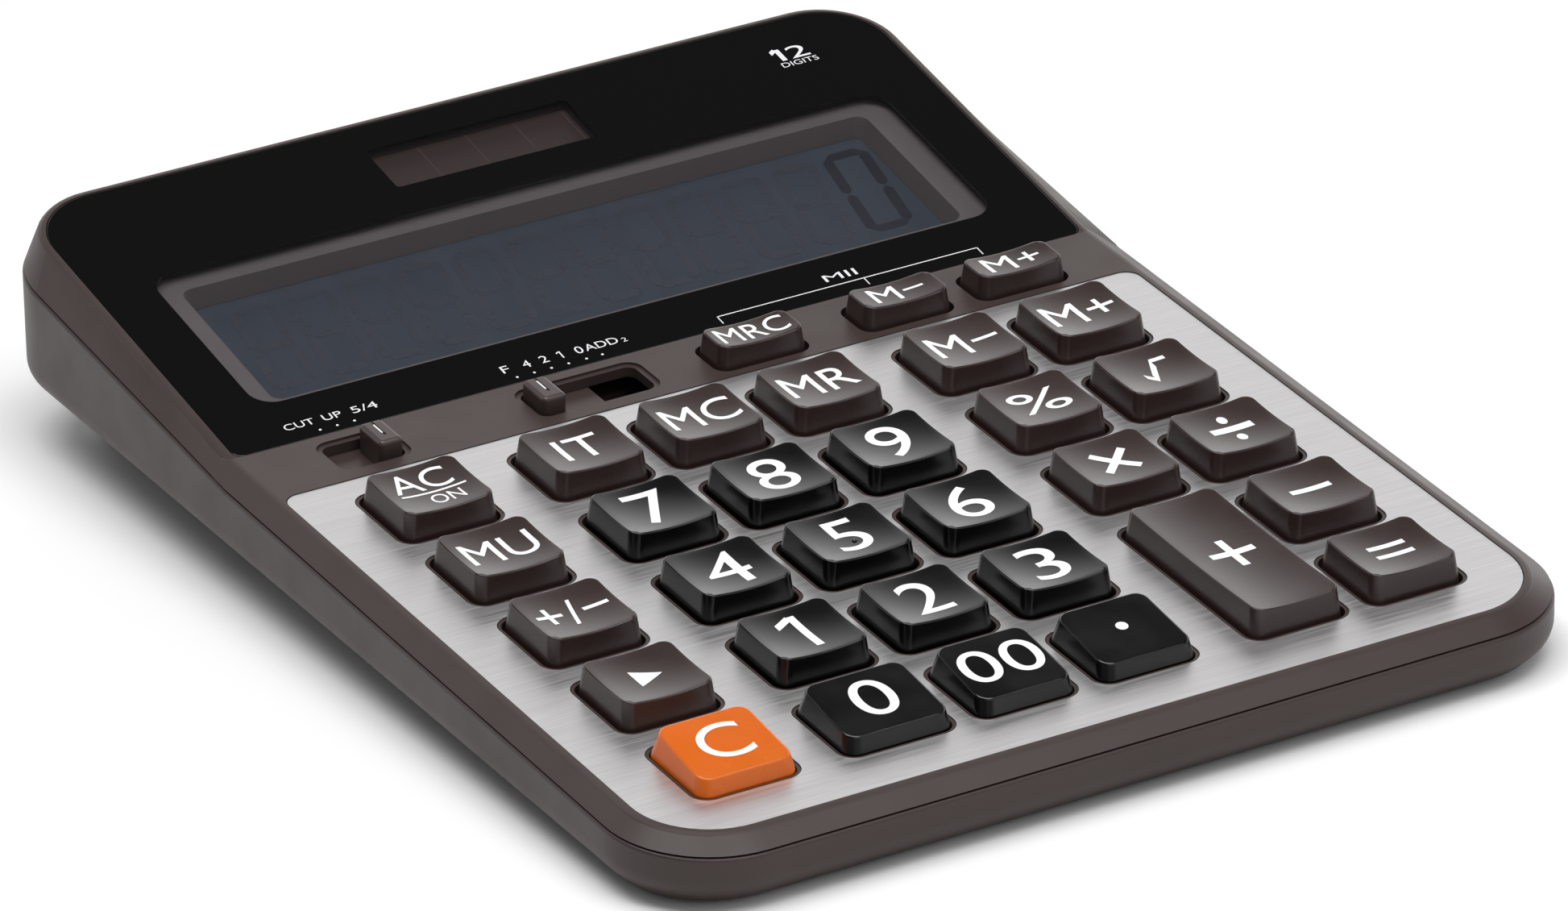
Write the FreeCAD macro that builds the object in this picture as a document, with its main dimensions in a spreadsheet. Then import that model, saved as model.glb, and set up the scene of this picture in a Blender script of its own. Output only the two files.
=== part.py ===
"""Desk calculator: a parametric FreeCAD document, in millimetres.

X runs to the right, Y towards the display end and Z up from the desk.  The origin is on the desk,
under the middle of the body.  Most pieces are drawn in one of four flat frames that share X:
the desk, the hull (the lower shell), the deck (the key plate) and the lens (the display window).
"""
import FreeCAD, Part
import math
import os
import re

import Sketcher

Vector = FreeCAD.Vector
Rule = Sketcher.Constraint

SIZES = {
    # overall body
    "body_width": 155.0, "body_depth": 209.0, "body_corner": 17.0, "wall": 2.0,
    "deck_height": 11.1, "deck_tilt": 4.0, "hull_tilt": 2.5, "rim_front": 4.7,
    "hull_drop": 7.4, "hull_turn": 4.0, "undercut_drop": 12.5, "foot_gap": 1.0,
    # seam between the shells
    "seam_drop": 1.9, "seam_gap": 0.3, "seam_step": 0.3, "seam_bend": 126.0, "seam_rise": 4.78,
    "ledge_round": 0.5, "shoulder_width": 1.2, "shelf_shoulder": 0.5, "hood_shoulder": 1.0,
    # key plate and its seat
    "plate_width": 146.0, "plate_depth": 116.6, "plate_front_corner": 12.5, "plate_rear_corner": 2.5,
    "plate_thick": 0.5, "seat_gap": 0.1, "rim": 0.35,
    # display window
    "lens_front": 130.9, "lens_lift": 0.1, "lens_tilt": 8.44, "lens_depth": 70.1, "lens_thick": 1.8,
    "lens_rear_corner": 11.0, "lens_front_corner": 1.8, "lens_floor": 1.6,
    "view_width": 127.6, "view_depth": 36.2, "view_front": 10.2, "view_corner": 4.0, "view_margin": 1.0,
    "bezel_thick": 2.4, "bezel_flange": 1.0, "glass_width": 123.0, "glass_depth": 34.4,
    "glass_thick": 2.2, "glass_view_width": 118.0, "glass_view_depth": 29.6, "backing_thick": 0.3,
    "solar_width": 33.8, "solar_depth": 9.4, "solar_front": 53.5, "solar_thick": 1.1,
    # keys
    "pitch_x": 20.2, "pitch_y": 21.5, "group_gap": 25.3, "first_row": 17.15,
    "cut_width": 17.8, "cut_depth": 17.6, "cut_corner": 3.0, "zero_extra": 1.5,
    "collar_gap": 0.1, "collar_wall": 0.5, "collar_sink": 0.15, "key_gap": 0.25,
    "top_inset_x": 0.85, "top_inset_y": 1.3, "key_rise": 4.2, "dish_radius": 40.0, "front_slope": 7.0,
    "cap_wall": 1.1, "flange_out": 0.8, "flange_thick": 0.7, "flange_clear": 0.05,
    "post_size": 4.0, "top_round": 0.45,
    "small_cut_width": 16.4, "small_cut_depth": 9.4, "small_row": 122.9, "small_rise": 3.7,
    "small_inset_y": 0.65,
    # slide switches
    "slot_row": 123.9, "slot_depth": 8.0, "slot_pitch": 2.93, "slot_margin": 0.5, "slot_corner": 1.6,
    "dish_margin": 0.9, "dish_sink": 0.4, "knob_width": 4.0, "knob_depth": 7.0, "knob_rise": 2.5,
    "knob_corner": 0.8, "knob_round": 0.7, "pointer_width": 0.5, "pointer_sink": 0.25,
    "rounding_rest": -52.5, "decimal_rest": -24.95, "shield_length": 19.2, "shield_depth": 10.6,
    "shield_thick": 0.8, "slide_gap": 0.08, "carrier_size": 7.0, "wiper_thick": 0.3, "wiper_gap": 0.1,
    # board and key mat
    "mat_width": 129.6, "mat_front": 4.5, "mat_rear": 113.2, "mat_thick": 0.8, "mat_top": 4.55,
    "small_mat_depth": 15.0, "dome_radius": 4.2, "dome_tip": 2.2, "dome_clear": 0.05,
    "board_width": 130.0, "board_front": 4.0, "board_rear": 131.0, "board_thick": 1.2, "board_gap": 0.05,
    "board_boss": 2.2, "board_pilot": 0.8, "board_screw": 0.75, "board_head": 1.8,
    "board_head_thick": 1.1, "mat_hole": 2.6, "chip_radius": 6.5, "chip_thick": 1.2,
    "strip_width": 100.0, "strip_depth": 13.5, "strip_thick": 0.2,
    # case screws
    "boss_radius": 3.1, "lower_boss": 4.0, "boss_joint": 3.6, "joint_gap": 0.05, "pilot_radius": 1.1,
    "screw_radius": 1.05, "screw_top": 1.3, "head_radius": 2.4, "head_thick": 1.6, "screw_hole": 1.4,
    "counterbore": 2.9, "screw_seat": 5.6,
    # battery bay
    "bay_x": -28.0, "bay_y": 52.0, "bay_width": 27.0, "bay_depth": 18.0, "bay_height": 8.7,
    "bay_wall": 1.5, "cover_thick": 1.6, "cover_gap": 0.2, "cover_lap": 1.5, "cell_radius": 5.8,
    "cell_thick": 5.4, "cell_shift": -5.5, "cover_screw_shift": 8.5, "cover_head": 1.9,
    "cover_head_thick": 0.9, "cover_screw_radius": 0.9, "cover_post": 2.6, "contact_thick": 0.3,
    "contact_width": 5.0,
    # feet
    "foot_radius": 4.5, "foot_sink": 0.8, "foot_play": 0.1, "front_foot_x": 56.0, "front_foot_y": -90.0,
    "rear_foot_x": 52.0, "rear_foot_y": 78.0,
}

KEY_COLUMNS = ("-group_gap-pitch_x*1.5", "-pitch_x*1.5", "-pitch_x*0.5",
               "pitch_x*0.5", "pitch_x*0.5+group_gap", "pitch_x*1.5+group_gap")
KEY_GRID = (
    ("clear_entry", "zero", "double_zero", "point", None, "equals"),
    ("arrow", "one", "two", "three", "plus", "minus"),
    ("sign", "four", "five", "six", "times", "divide"),
    ("markup", "seven", "eight", "nine", "percent", "root"),
    ("all_clear", "item", "memory_clear", "memory_recall", "memory_minus", "memory_plus"),
)
SMALL_KEYS = {"total_recall": 3, "total_minus": 4, "total_plus": 5}
SLOPED_KEYS = ("clear_entry", "zero", "double_zero", "point")
SLIDERS = {"rounding": (-2, 0), "decimal": (0, 5)}

doc = FreeCAD.newDocument("DeskCalculator")
sheet = doc.addObject("Spreadsheet::Sheet", "sizes")
for row, (alias, size) in enumerate(SIZES.items(), start=1):
    sheet.set(f"A{row}", alias)
    sheet.set(f"B{row}", str(size))
    sheet.setAlias(f"B{row}", alias)
doc.recompute()


def formula(text):
    """A formula in size names, pointed at the sheet."""
    names = r"[a-z_]+"
    return re.sub(names, lambda hit: "sizes." + hit[0] if hit[0] in SIZES else hit[0], str(text))


def value(text):
    """The number that a formula gives now."""
    return float(sheet.evalExpression(formula(text)))


def bind(thing, **properties):
    """Tie an object's properties to formulas in the sheet's sizes."""
    for name, text in properties.items():
        thing.setExpression(name, formula(text))


# Each frame: its turn about X, and where its origin lies on the desk's Y and Z.
FRONT_HIGH = "(seam_drop+seam_gap+ledge_round)"
REAR_LOW = "(hull_drop-hull_turn*tan(22.5))"
FRONT_Y = f"(rim_front*cos(hull_tilt)-body_depth/2-{FRONT_HIGH}*sin(hull_tilt))"
CASE_LENGTH = f"((body_depth-({REAR_LOW}-{FRONT_HIGH})*sin(hull_tilt))/cos(hull_tilt))"
LENS_TURN = "(deck_tilt+lens_tilt)"
FRAMES = {
    "desk": ("0", "0", "0"),
    "hull": ("hull_tilt", FRONT_Y, "deck_height"),
    "deck": ("deck_tilt", FRONT_Y, "deck_height"),
    "seam": ("(deck_tilt+seam_rise)",
             f"({FRONT_Y}+seam_bend*cos(deck_tilt)+seam_drop*sin(deck_tilt))",
             "(deck_height+seam_bend*sin(deck_tilt)-seam_drop*cos(deck_tilt))"),
    "lens": (LENS_TURN, f"({FRONT_Y}+lens_front*cos(deck_tilt)-lens_lift*sin(deck_tilt))",
             "(deck_height+lens_front*sin(deck_tilt)+lens_lift*cos(deck_tilt))"),
}


def place(thing, frame, x="0", y="0", z="0"):
    """Put an object at a point of a frame, square to that frame."""
    turn, base_y, base_z = FRAMES[frame]
    thing.Placement = FreeCAD.Placement(Vector(), FreeCAD.Rotation(Vector(1, 0, 0), 1.0))
    thing.setExpression("Placement.Rotation.Angle", formula(f"{turn}*1deg"))
    thing.setExpression("Placement.Base.x", formula(x))
    thing.setExpression("Placement.Base.y", formula(f"{base_y}+({y})*cos({turn})-({z})*sin({turn})"))
    thing.setExpression("Placement.Base.z", formula(f"{base_z}+({y})*sin({turn})+({z})*cos({turn})"))
    return thing


def draw_rounded(sketch, width, depth, corner, rear_corner=None, mid_x="0", mid_y="0"):
    """A rectangle with round corners; its front pair may differ from its rear pair."""
    rear_corner = rear_corner or corner
    left, right = (value(f"({mid_x}){side}({width})/2") for side in "-+")
    front, rear = (value(f"({mid_y}){side}({depth})/2") for side in "-+")
    low, high = value(corner), value(rear_corner)
    right_angle = math.pi / 2

    def line(x0, y0, x1, y1):
        return Part.LineSegment(Vector(x0, y0, 0), Vector(x1, y1, 0))

    def arc(x, y, radius, quarter):
        circle = Part.Circle(Vector(x, y, 0), Vector(0, 0, 1), radius)
        return Part.ArcOfCircle(circle, quarter * right_angle, (quarter + 1) * right_angle)

    sketch.addGeometry([
        line(left + low, front, right - low, front), arc(right - low, front + low, low, -1),
        line(right, front + low, right, rear - high), arc(right - high, rear - high, high, 0),
        line(right - high, rear, left + high, rear), arc(left + high, rear - high, high, 1),
        line(left, rear - high, left, front + low), arc(left + low, front + low, low, 2)], False)
    sketch.addConstraint([Rule("Tangent", i, 2, (i + 1) % 8, 1) for i in range(8)])
    sketch.addConstraint([Rule("Horizontal", 0), Rule("Vertical", 2), Rule("Horizontal", 4),
                          Rule("Vertical", 6), Rule("Equal", 1, 7), Rule("Equal", 3, 5)])
    ties = (
        (Rule("Radius", 1, low), corner), (Rule("Radius", 3, high), rear_corner),
        (Rule("DistanceX", -1, 1, 6, 1, left), f"({mid_x})-({width})/2"),
        (Rule("DistanceX", -1, 1, 2, 1, right), f"({mid_x})+({width})/2"),
        (Rule("DistanceY", -1, 1, 0, 1, front), f"({mid_y})-({depth})/2"),
        (Rule("DistanceY", -1, 1, 4, 1, rear), f"({mid_y})+({depth})/2"))
    for rule, text in ties:
        sketch.setExpression(f"Constraints[{sketch.addConstraint(rule)}]", formula(text))


def rounded(name, frame, width, depth, corner, low, high, rear_corner=None, mid_x="0", mid_y="0",
            taper="0"):
    """A slab between two levels of a frame, with a rounded-rectangle outline."""
    outline = doc.addObject("Sketcher::SketchObject", name + "_outline")
    draw_rounded(outline, width, depth, corner, rear_corner, mid_x, mid_y)
    place(outline, frame, z=low)
    slab = doc.addObject("Part::Extrusion", name)
    slab.Base = outline
    slab.DirMode = "Normal"
    slab.Solid = True
    bind(slab, LengthFwd=f"({high})-({low})", TaperAngle=taper)
    return slab


def box(name, frame, width, depth, low, high, mid_x="0", mid_y="0"):
    """A square-cornered block between two levels of a frame."""
    block = doc.addObject("Part::Box", name)
    bind(block, Length=width, Width=depth, Height=f"({high})-({low})")
    return place(block, frame, f"({mid_x})-({width})/2", f"({mid_y})-({depth})/2", low)


def post(name, frame, radius, low, high, x="0", y="0"):
    """An upright cylinder between two levels of a frame."""
    cylinder = doc.addObject("Part::Cylinder", name)
    bind(cylinder, Radius=radius, Height=f"({high})-({low})")
    return place(cylinder, frame, x, y, low)


def cut(name, base, *tools):
    """Take the tools away from the base."""
    result = doc.addObject("Part::Cut", name)
    result.Base = base
    result.Tool = tools[0] if len(tools) == 1 else fuse(name + "_tools", *tools)
    return result


def fuse(name, *pieces):
    """Join pieces into one."""
    if len(pieces) == 1:
        return pieces[0]
    result = doc.addObject("Part::MultiFuse", name)
    result.Shapes = list(pieces)
    return result


def common(name, *pieces):
    """Keep what all the pieces share."""
    result = doc.addObject("Part::MultiCommon", name)
    result.Shapes = list(pieces)
    return result


def rounded_edges(name, base, radius, wanted):
    """Round the base's edges for which wanted(edge) is true."""
    doc.recompute()
    result = doc.addObject("Part::Fillet", name)
    result.Base = base
    size = value(radius)
    result.Edges = [(i, size, size) for i, edge in enumerate(base.Shape.Edges, 1) if wanted(edge)]
    return result


def frame_level(frame, point):
    """How high a point stands above a frame's plane."""
    turn, base_y, base_z = (value(text) for text in FRAMES[frame])
    turn = math.radians(turn)
    return (point.z - base_z) * math.cos(turn) - (point.y - base_y) * math.sin(turn)


def at_level(frame, level):
    """A test for edges that lie at a level of a frame."""
    height = value(level)
    return lambda edge: all(abs(frame_level(frame, v.Point) - height) < 0.01 for v in edge.Vertexes)


def loft(name, *sections):
    """A solid with straight walls between two outlines."""
    result = doc.addObject("Part::Loft", name)
    result.Sections = list(sections)
    result.Solid = True
    result.Ruled = True
    return result


def outline(name, frame, width, depth, corner, level, rear_corner=None, mid_y="0"):
    """One rounded outline at a level of a frame, as a loft's section."""
    sketch = doc.addObject("Sketcher::SketchObject", name)
    draw_rounded(sketch, width, depth, corner, rear_corner, "0", mid_y)
    return place(sketch, frame, z=level)


def span(low, high):
    """The depth and middle of a stretch between two formulas."""
    return f"({high})-({low})", f"(({high})+({low}))/2"


def key_places():
    """Every key: its name, middle, cut-out size and whether it belongs to the band."""
    places = {}
    for row, names in enumerate(KEY_GRID):
        for column, name in enumerate(names):
            if name is None:
                continue
            x, y = KEY_COLUMNS[column], f"first_row+pitch_y*{row}"
            width, depth = "cut_width", "cut_depth"
            if name == "plus":
                y, depth = f"{y}-pitch_y/2", "cut_depth+pitch_y"
            if name == "zero":
                x, width = f"{x}-zero_extra/2", "cut_width+zero_extra"
            places[name] = (x, y, width, depth, False)
    for name, column in SMALL_KEYS.items():
        places[name] = (KEY_COLUMNS[column], "small_row", "small_cut_width", "small_cut_depth", True)
    return places


KEYS = key_places()
SKIRT_IN = "2*(collar_gap+collar_wall+key_gap)"
SMALL_IN = "2*key_gap"
UNDER = "-seam_drop"
KEY_FOOT = "-(seam_drop+flange_clear+flange_thick)"
MAT_TOP = "-mat_top"
BOARD_TOP = "-(mat_top+mat_thick+board_gap)"
BOARD_FOOT = "-(mat_top+mat_thick+board_gap+board_thick)"
LENS_FOOT = "-(lens_thick+lens_floor)"
HULL_MID = f"({CASE_LENGTH}/2-rim_front)"
SEAM_RUN = (f"(({CASE_LENGTH}-rim_front-seam_bend*cos(deck_tilt-hull_tilt)"
            "-seam_drop*sin(deck_tilt-hull_tilt))/cos(deck_tilt+seam_rise-hull_tilt))")
CASE_SCREWS = (("70", "10"), ("70", "136"), ("58", "186"))
BOARD_SCREWS = [(x, y) for x in ("-pitch_x*1.5-group_gap/2", "pitch_x*0.5+group_gap/2")
                for y in ("first_row", "first_row+pitch_y*2", "first_row+pitch_y*4")]
BOSS_TOP = "-seam_drop*0.55+max(0;({y}-lens_front)*tan(lens_tilt)-lens_floor*0.5)"
LOW, HIGH = "-60", "60"
SHOULDER = (15, 40, 65, 90)


def key_base(name):
    """Width and depth of a key where it passes its opening."""
    width, depth, small = KEYS[name][2:]
    inset = SMALL_IN if small else SKIRT_IN
    return f"({width}-{inset})", f"({depth}-{inset})"


def key_openings(kind, grow, low, high, small=(False, True)):
    """One rounded slab for each key, grown past the key's base."""
    slabs = []
    for name, (x, y, _, _, in_band) in KEYS.items():
        if in_band not in small:
            continue
        width, depth = (f"{size}+2*({grow})" for size in key_base(name))
        corner = f"cut_corner-collar_gap-collar_wall-key_gap+({grow})"
        slabs.append(rounded(f"{kind}_{name}", "deck", width, depth, corner, low, high,
                             mid_x=x, mid_y=y))
    return slabs


def case_screw_posts(kind, radius, low, high):
    """One upright cylinder at each of the six case screws; a level may depend on the screw's y."""
    return [post(f"{kind}_{row}_{side}", "deck", radius, low, high.format(y=y), f"{side}*{x}", y)
            for row, (x, y) in enumerate(CASE_SCREWS) for side in (-1, 1)]


def board_screw_posts(kind, radius, low, high):
    """One upright cylinder at each of the board screws."""
    return [post(f"{kind}_{count}", "deck", radius, low, high, x, y)
            for count, (x, y) in enumerate(BOARD_SCREWS)]


def slider_travel(name):
    """A slide switch's slot: its middle and its width."""
    first, last = SLIDERS[name]
    middle = f"{name}_rest+slot_pitch*{(first + last) / 2}"
    return middle, f"slot_pitch*{last - first}+knob_width+2*slot_margin"


def make_upper_case():
    """The top shell: a low shelf for the keys and a raised, steeper tray for the display."""
    wide, slim = "body_width-2*seam_step", "plate_width+2*rim"
    depth, middle = span("seam_step-rim_front", "lens_front+3")
    sections = [outline("shelf_foot", "deck", wide, depth, "body_corner-seam_step", UNDER, "2", middle)]
    for angle in SHOULDER:
        out = f"shoulder_width*cos({angle})"
        depth, middle = span(f"-rim-{out}", "lens_front+3")
        sections.append(outline(f"shelf_shoulder_{angle}", "deck", f"{slim}+2*{out}", depth,
                                f"plate_front_corner+rim+{out}",
                                f"lens_lift-shelf_shoulder*(1-sin({angle}))", "2", middle))
    shelf = loft("shelf", *sections)
    depth, middle = span("0", f"{SEAM_RUN}-seam_step")
    sections = [outline("hood_foot", "seam", wide, depth, "2", "0", "body_corner-seam_step", middle)]
    for angle in SHOULDER:
        out = f"shoulder_width*cos({angle})"
        depth, middle = span("-0.5", f"lens_depth+rim+{out}")
        sections.append(outline(f"hood_shoulder_{angle}", "lens", f"{slim}+2*{out}", depth, "1",
                                f"-hood_shoulder*(1-sin({angle}))", f"lens_rear_corner+rim+{out}",
                                middle))
    hood = loft("hood", *sections)
    depth, middle = span("30", f"{SEAM_RUN}-seam_step-wall")
    foot = outline("hollow_foot", "seam", f"{wide}-2*wall", depth, "2", "-0.5",
                   "body_corner-seam_step-wall", middle)
    depth, middle = span("30", "lens_depth+rim-wall")
    top = outline("hollow_top", "lens", f"{slim}-2*wall", depth, "2", LENS_FOOT,
                  "lens_rear_corner+rim-wall", middle)
    hollow = loft("hood_hollow", foot, top)
    tray = rounded("lens_tray", "lens", "plate_width", "lens_depth", "lens_front_corner", LENS_FOOT,
                   "-0.5", "lens_rear_corner", mid_y="lens_depth/2")
    shell = fuse("top_shell", cut("hollow_shell", fuse("top_block", shelf, hood), hollow), tray,
                 *case_screw_posts("upper_boss", "boss_radius", "-boss_joint", BOSS_TOP),
                 *board_screw_posts("board_boss", "board_boss", f"{BOARD_TOP}+joint_gap", UNDER))
    seat = rounded("plate_seat", "deck", "plate_width+2*seat_gap", "plate_depth+2*seat_gap",
                   "plate_front_corner", "-plate_thick", HIGH, "plate_rear_corner",
                   mid_y="plate_depth/2")
    collars = key_openings("collar", "key_gap+collar_wall", LOW, "-collar_sink", (False,))
    seat = cut("seat_round_collars", seat, *collars)
    lens_seat = rounded("lens_seat", "lens", "plate_width+2*seat_gap", "lens_depth+2*seat_gap",
                        "lens_front_corner", "-lens_thick", HIGH, "lens_rear_corner",
                        mid_y="lens_depth/2")
    window = rounded("window", "lens", "view_width+2*view_margin", "view_depth+2*view_margin",
                     "view_corner", LOW, "0", mid_y="view_front+view_depth/2")
    pocket = rounded("solar_pocket", "lens", "solar_width+2", "solar_depth+2", "0.6",
                     "-(lens_thick+solar_thick+0.05)", "0", mid_y="solar_front+solar_depth/2")
    wire_hole = post("wire_hole", "lens", "1.5", LOW, "0", "0", "solar_front+solar_depth/2")
    slots = []
    for name in SLIDERS:
        middle, width = slider_travel(name)
        slots.append(rounded(name + "_slot", "deck", width, "slot_depth", "slot_corner", LOW, HIGH,
                             mid_x=middle, mid_y="slot_row"))
        slots.append(rounded(name + "_dish", "deck", f"{width}+2*dish_margin",
                             "slot_depth+2*dish_margin", "slot_corner+dish_margin",
                             "lens_lift-dish_sink", HIGH, mid_x=middle, mid_y="slot_row"))
    return cut("upper_case", shell, seat, lens_seat, window, pocket, wire_hole, *slots,
               *key_openings("opening", "key_gap", LOW, HIGH),
               *case_screw_posts("upper_pilot", "pilot_radius", LOW, "-screw_top+joint_gap"),
               *board_screw_posts("board_pilot", "board_pilot", LOW, UNDER))


def make_lower_case():
    """The bottom shell: upright walls, a 45 degree undercut and a bottom level with the desk."""
    def hull(kind, inset, level):
        size = ("hull", f"body_width-2*({inset})", f"{CASE_LENGTH}-2*({inset})",
                f"body_corner-({inset})")
        walls = rounded(kind + "_walls", *size, level, "20", mid_y=HULL_MID)
        slope = rounded(kind + "_slope", *size, level, f"{level}+undercut_drop", mid_y=HULL_MID,
                        taper="-45")
        slope.Reversed = True
        return fuse(kind + "_hull", walls, slope)

    outer = rounded_edges("outer_round", hull("outer", "0", "-hull_drop"), "hull_turn",
                          at_level("hull", "-hull_drop"))
    inner = hull("inner", "wall", "-(hull_drop-wall*0.414)")
    huge = ("body_width*2", "body_depth*3")
    above = common("above_seam", box("above_shelf", "deck", *huge, "-(seam_drop+seam_gap)", HIGH),
                   box("above_hood", "seam", *huge, "-seam_gap", HIGH))
    outer = cut("outer_trim", outer, above, box("below_floor", "desk", *huge, LOW, "foot_gap"))
    outer = rounded_edges("outer_shell", outer, "ledge_round", is_ledge)
    inside = cut("inside", inner, box("under_floor", "desk", *huge, LOW, "foot_gap+wall"))
    stock = fuse("boss_stock", *case_screw_posts("lower_boss", "lower_boss", "-40",
                                                 "-(boss_joint+joint_gap)"))
    bosses = common("lower_bosses", outer, stock)
    bay = box("bay_block", "desk", "bay_width+2*(cover_lap+bay_wall)",
              "bay_depth+2*(cover_lap+bay_wall)", "foot_gap", "bay_height+bay_wall", "bay_x", "bay_y")
    shell = fuse("bottom_shell", cut("bottom_hollow", outer, inside), bosses, bay)
    cavity = box("bay_cavity", "desk", "bay_width", "bay_depth", LOW, "bay_height", "bay_x", "bay_y")
    column = post("cover_column", "desk", "cover_post", "foot_gap+cover_thick+joint_gap",
                  "bay_height+0.5", "bay_x+cover_screw_shift", "bay_y")
    cavity = cut("bay_room", cavity, column)
    recess = box("cover_recess", "desk", "bay_width+2*cover_lap", "bay_depth+2*cover_lap", LOW,
                 "foot_gap+cover_thick+joint_gap", "bay_x", "bay_y")
    pilot = post("cover_pilot", "desk", "cover_screw_radius+joint_gap", LOW, "bay_height-1",
                 "bay_x+cover_screw_shift", "bay_y")
    feet = [post(f"{end}_foot_pocket_{side}", "desk", "foot_radius+foot_play", LOW,
                 "foot_gap+foot_sink", f"{side}*{end}_foot_x", f"{end}_foot_y")
            for end in ("front", "rear") for side in (-1, 1)]
    return cut("lower_case", shell, cavity, recess, pilot, *feet,
               *case_screw_posts("counterbore", "counterbore", "-40", "-screw_seat"),
               *case_screw_posts("screw_way", "screw_hole", "-40", "0"))


def is_ledge(edge):
    """Whether an edge runs round the outside of the lower shell along the seam."""
    points = [edge.valueAt(edge.FirstParameter), edge.valueAt(edge.LastParameter), edge.CenterOfMass]
    drop = value("seam_drop+seam_gap")
    hood_drop = value("seam_gap")
    across = abs(points[0].y - points[1].y) < 0.01 and abs(points[0].y) < value("body_depth/2-20")
    along = all(min(abs(frame_level("deck", point) + drop),
                    abs(frame_level("seam", point) + hood_drop)) < 0.02 for point in points)
    return along and not across and edge.Length > 1


def make_face_plate():
    """The brushed sheet with a rounded cut-out for each key."""
    sheet_metal = rounded("plate_blank", "deck", "plate_width", "plate_depth", "plate_front_corner",
                          "-plate_thick", "0", "plate_rear_corner", mid_y="plate_depth/2")
    return cut("face_plate", sheet_metal,
               *key_openings("cut_out", "key_gap+collar_wall+collar_gap", LOW, HIGH, (False,)))


def make_display():
    """The window, its bezel, the liquid crystal glass with its backing, and the solar cell."""
    middle = "view_front+view_depth/2"
    window = rounded("display_window", "lens", "plate_width", "lens_depth", "lens_front_corner",
                     "-lens_thick", "0", "lens_rear_corner", mid_y="lens_depth/2")
    play = "2*(view_margin-seat_gap)"
    foot = "-(lens_thick+bezel_thick)"
    body = rounded("bezel_body", "lens", f"view_width+{play}", f"view_depth+{play}", "view_corner",
                   foot, "-(lens_thick+joint_gap)", mid_y=middle)
    flange = rounded("bezel_flange", "lens", f"view_width+{play}+2", f"view_depth+{play}+2",
                     "view_corner", f"{foot}-bezel_flange", f"{LENS_FOOT}-joint_gap", mid_y=middle)
    mouth = outline("bezel_mouth", "lens", "glass_view_width+2.4", "glass_view_depth+2.4", "2.2", "0",
                    mid_y=middle)
    throat = outline("bezel_throat", "lens", "glass_view_width-1", "glass_view_depth-1", "1.2",
                     f"{foot}-2*bezel_flange", mid_y=middle)
    bezel = cut("display_bezel", fuse("bezel_frame", body, flange), loft("bezel_hole", mouth, throat))
    top = f"{foot}-bezel_flange-joint_gap"
    glass = box("lcd_panel", "lens", "glass_width", "glass_depth", f"{top}-glass_thick", top,
                mid_y=middle)
    backing = box("lcd_backing", "lens", "glass_width-1", "glass_depth-1",
                  f"{top}-glass_thick-joint_gap-backing_thick", f"{top}-glass_thick-joint_gap",
                  mid_y=middle)
    cell = box("solar_cell", "lens", "solar_width+1.4", "solar_depth+1.4",
               "-(lens_thick+solar_thick)", "-(lens_thick+joint_gap/2)",
               mid_y="solar_front+solar_depth/2")
    return {"display_window": window, "display_bezel": bezel, "lcd_panel": glass,
            "lcd_backing": backing, "solar_cell": cell}


def make_board():
    """The circuit board, what is mounted on it and the silicone key mat above it."""
    depth, middle = span("board_front", "board_rear")
    board = cut("circuit_board",
                box("board_blank", "deck", "board_width", depth, BOARD_FOOT, BOARD_TOP, mid_y=middle),
                *board_screw_posts("board_way", "board_pilot", LOW, HIGH))
    chip = doc.addObject("Part::Cone", "chip_cover")
    bind(chip, Radius1="chip_radius*0.7", Radius2="chip_radius", Height="chip_thick")
    place(chip, "deck", "0", "first_row+pitch_y*3.5", f"{BOARD_FOOT}-joint_gap-chip_thick")
    strip = box("lcd_connector", "deck", "strip_width", "strip_depth", f"{BOARD_TOP}+joint_gap",
                f"{BOARD_TOP}+joint_gap+strip_thick", mid_y="board_rear-2+strip_depth/2")
    depth, middle = span("mat_front", "mat_rear")
    pads = [box("mat_main", "deck", "mat_width", depth, f"{MAT_TOP}-mat_thick", MAT_TOP, mid_y=middle),
            box("mat_small", "deck", "mat_width/2-2", "small_mat_depth", f"{MAT_TOP}-mat_thick",
                MAT_TOP, "mat_width/4+1", "mat_rear+small_mat_depth/2-1")]
    for name, (x, y, _, _, _) in KEYS.items():
        dome = doc.addObject("Part::Cone", "dome_" + name)
        bind(dome, Radius1="dome_radius", Radius2="dome_tip", Height=f"({KEY_FOOT})-dome_clear+mat_top")
        pads.append(place(dome, "deck", x, y, MAT_TOP))
    mat = cut("key_mat", fuse("mat_sheet", *pads),
              *board_screw_posts("mat_hole", "mat_hole", LOW, HIGH))
    heads = board_screw_posts("board_head", "board_head",
                              f"{BOARD_FOOT}-joint_gap-board_head_thick", f"{BOARD_FOOT}-joint_gap")
    shanks = board_screw_posts("board_shank", "board_screw", f"{BOARD_FOOT}-joint_gap-0.1",
                               f"{UNDER}-joint_gap")
    return {"circuit_board": board, "chip_cover": chip, "lcd_connector": strip, "key_mat": mat,
            "board_screws": fuse("board_screws", *heads, *shanks)}


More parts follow.
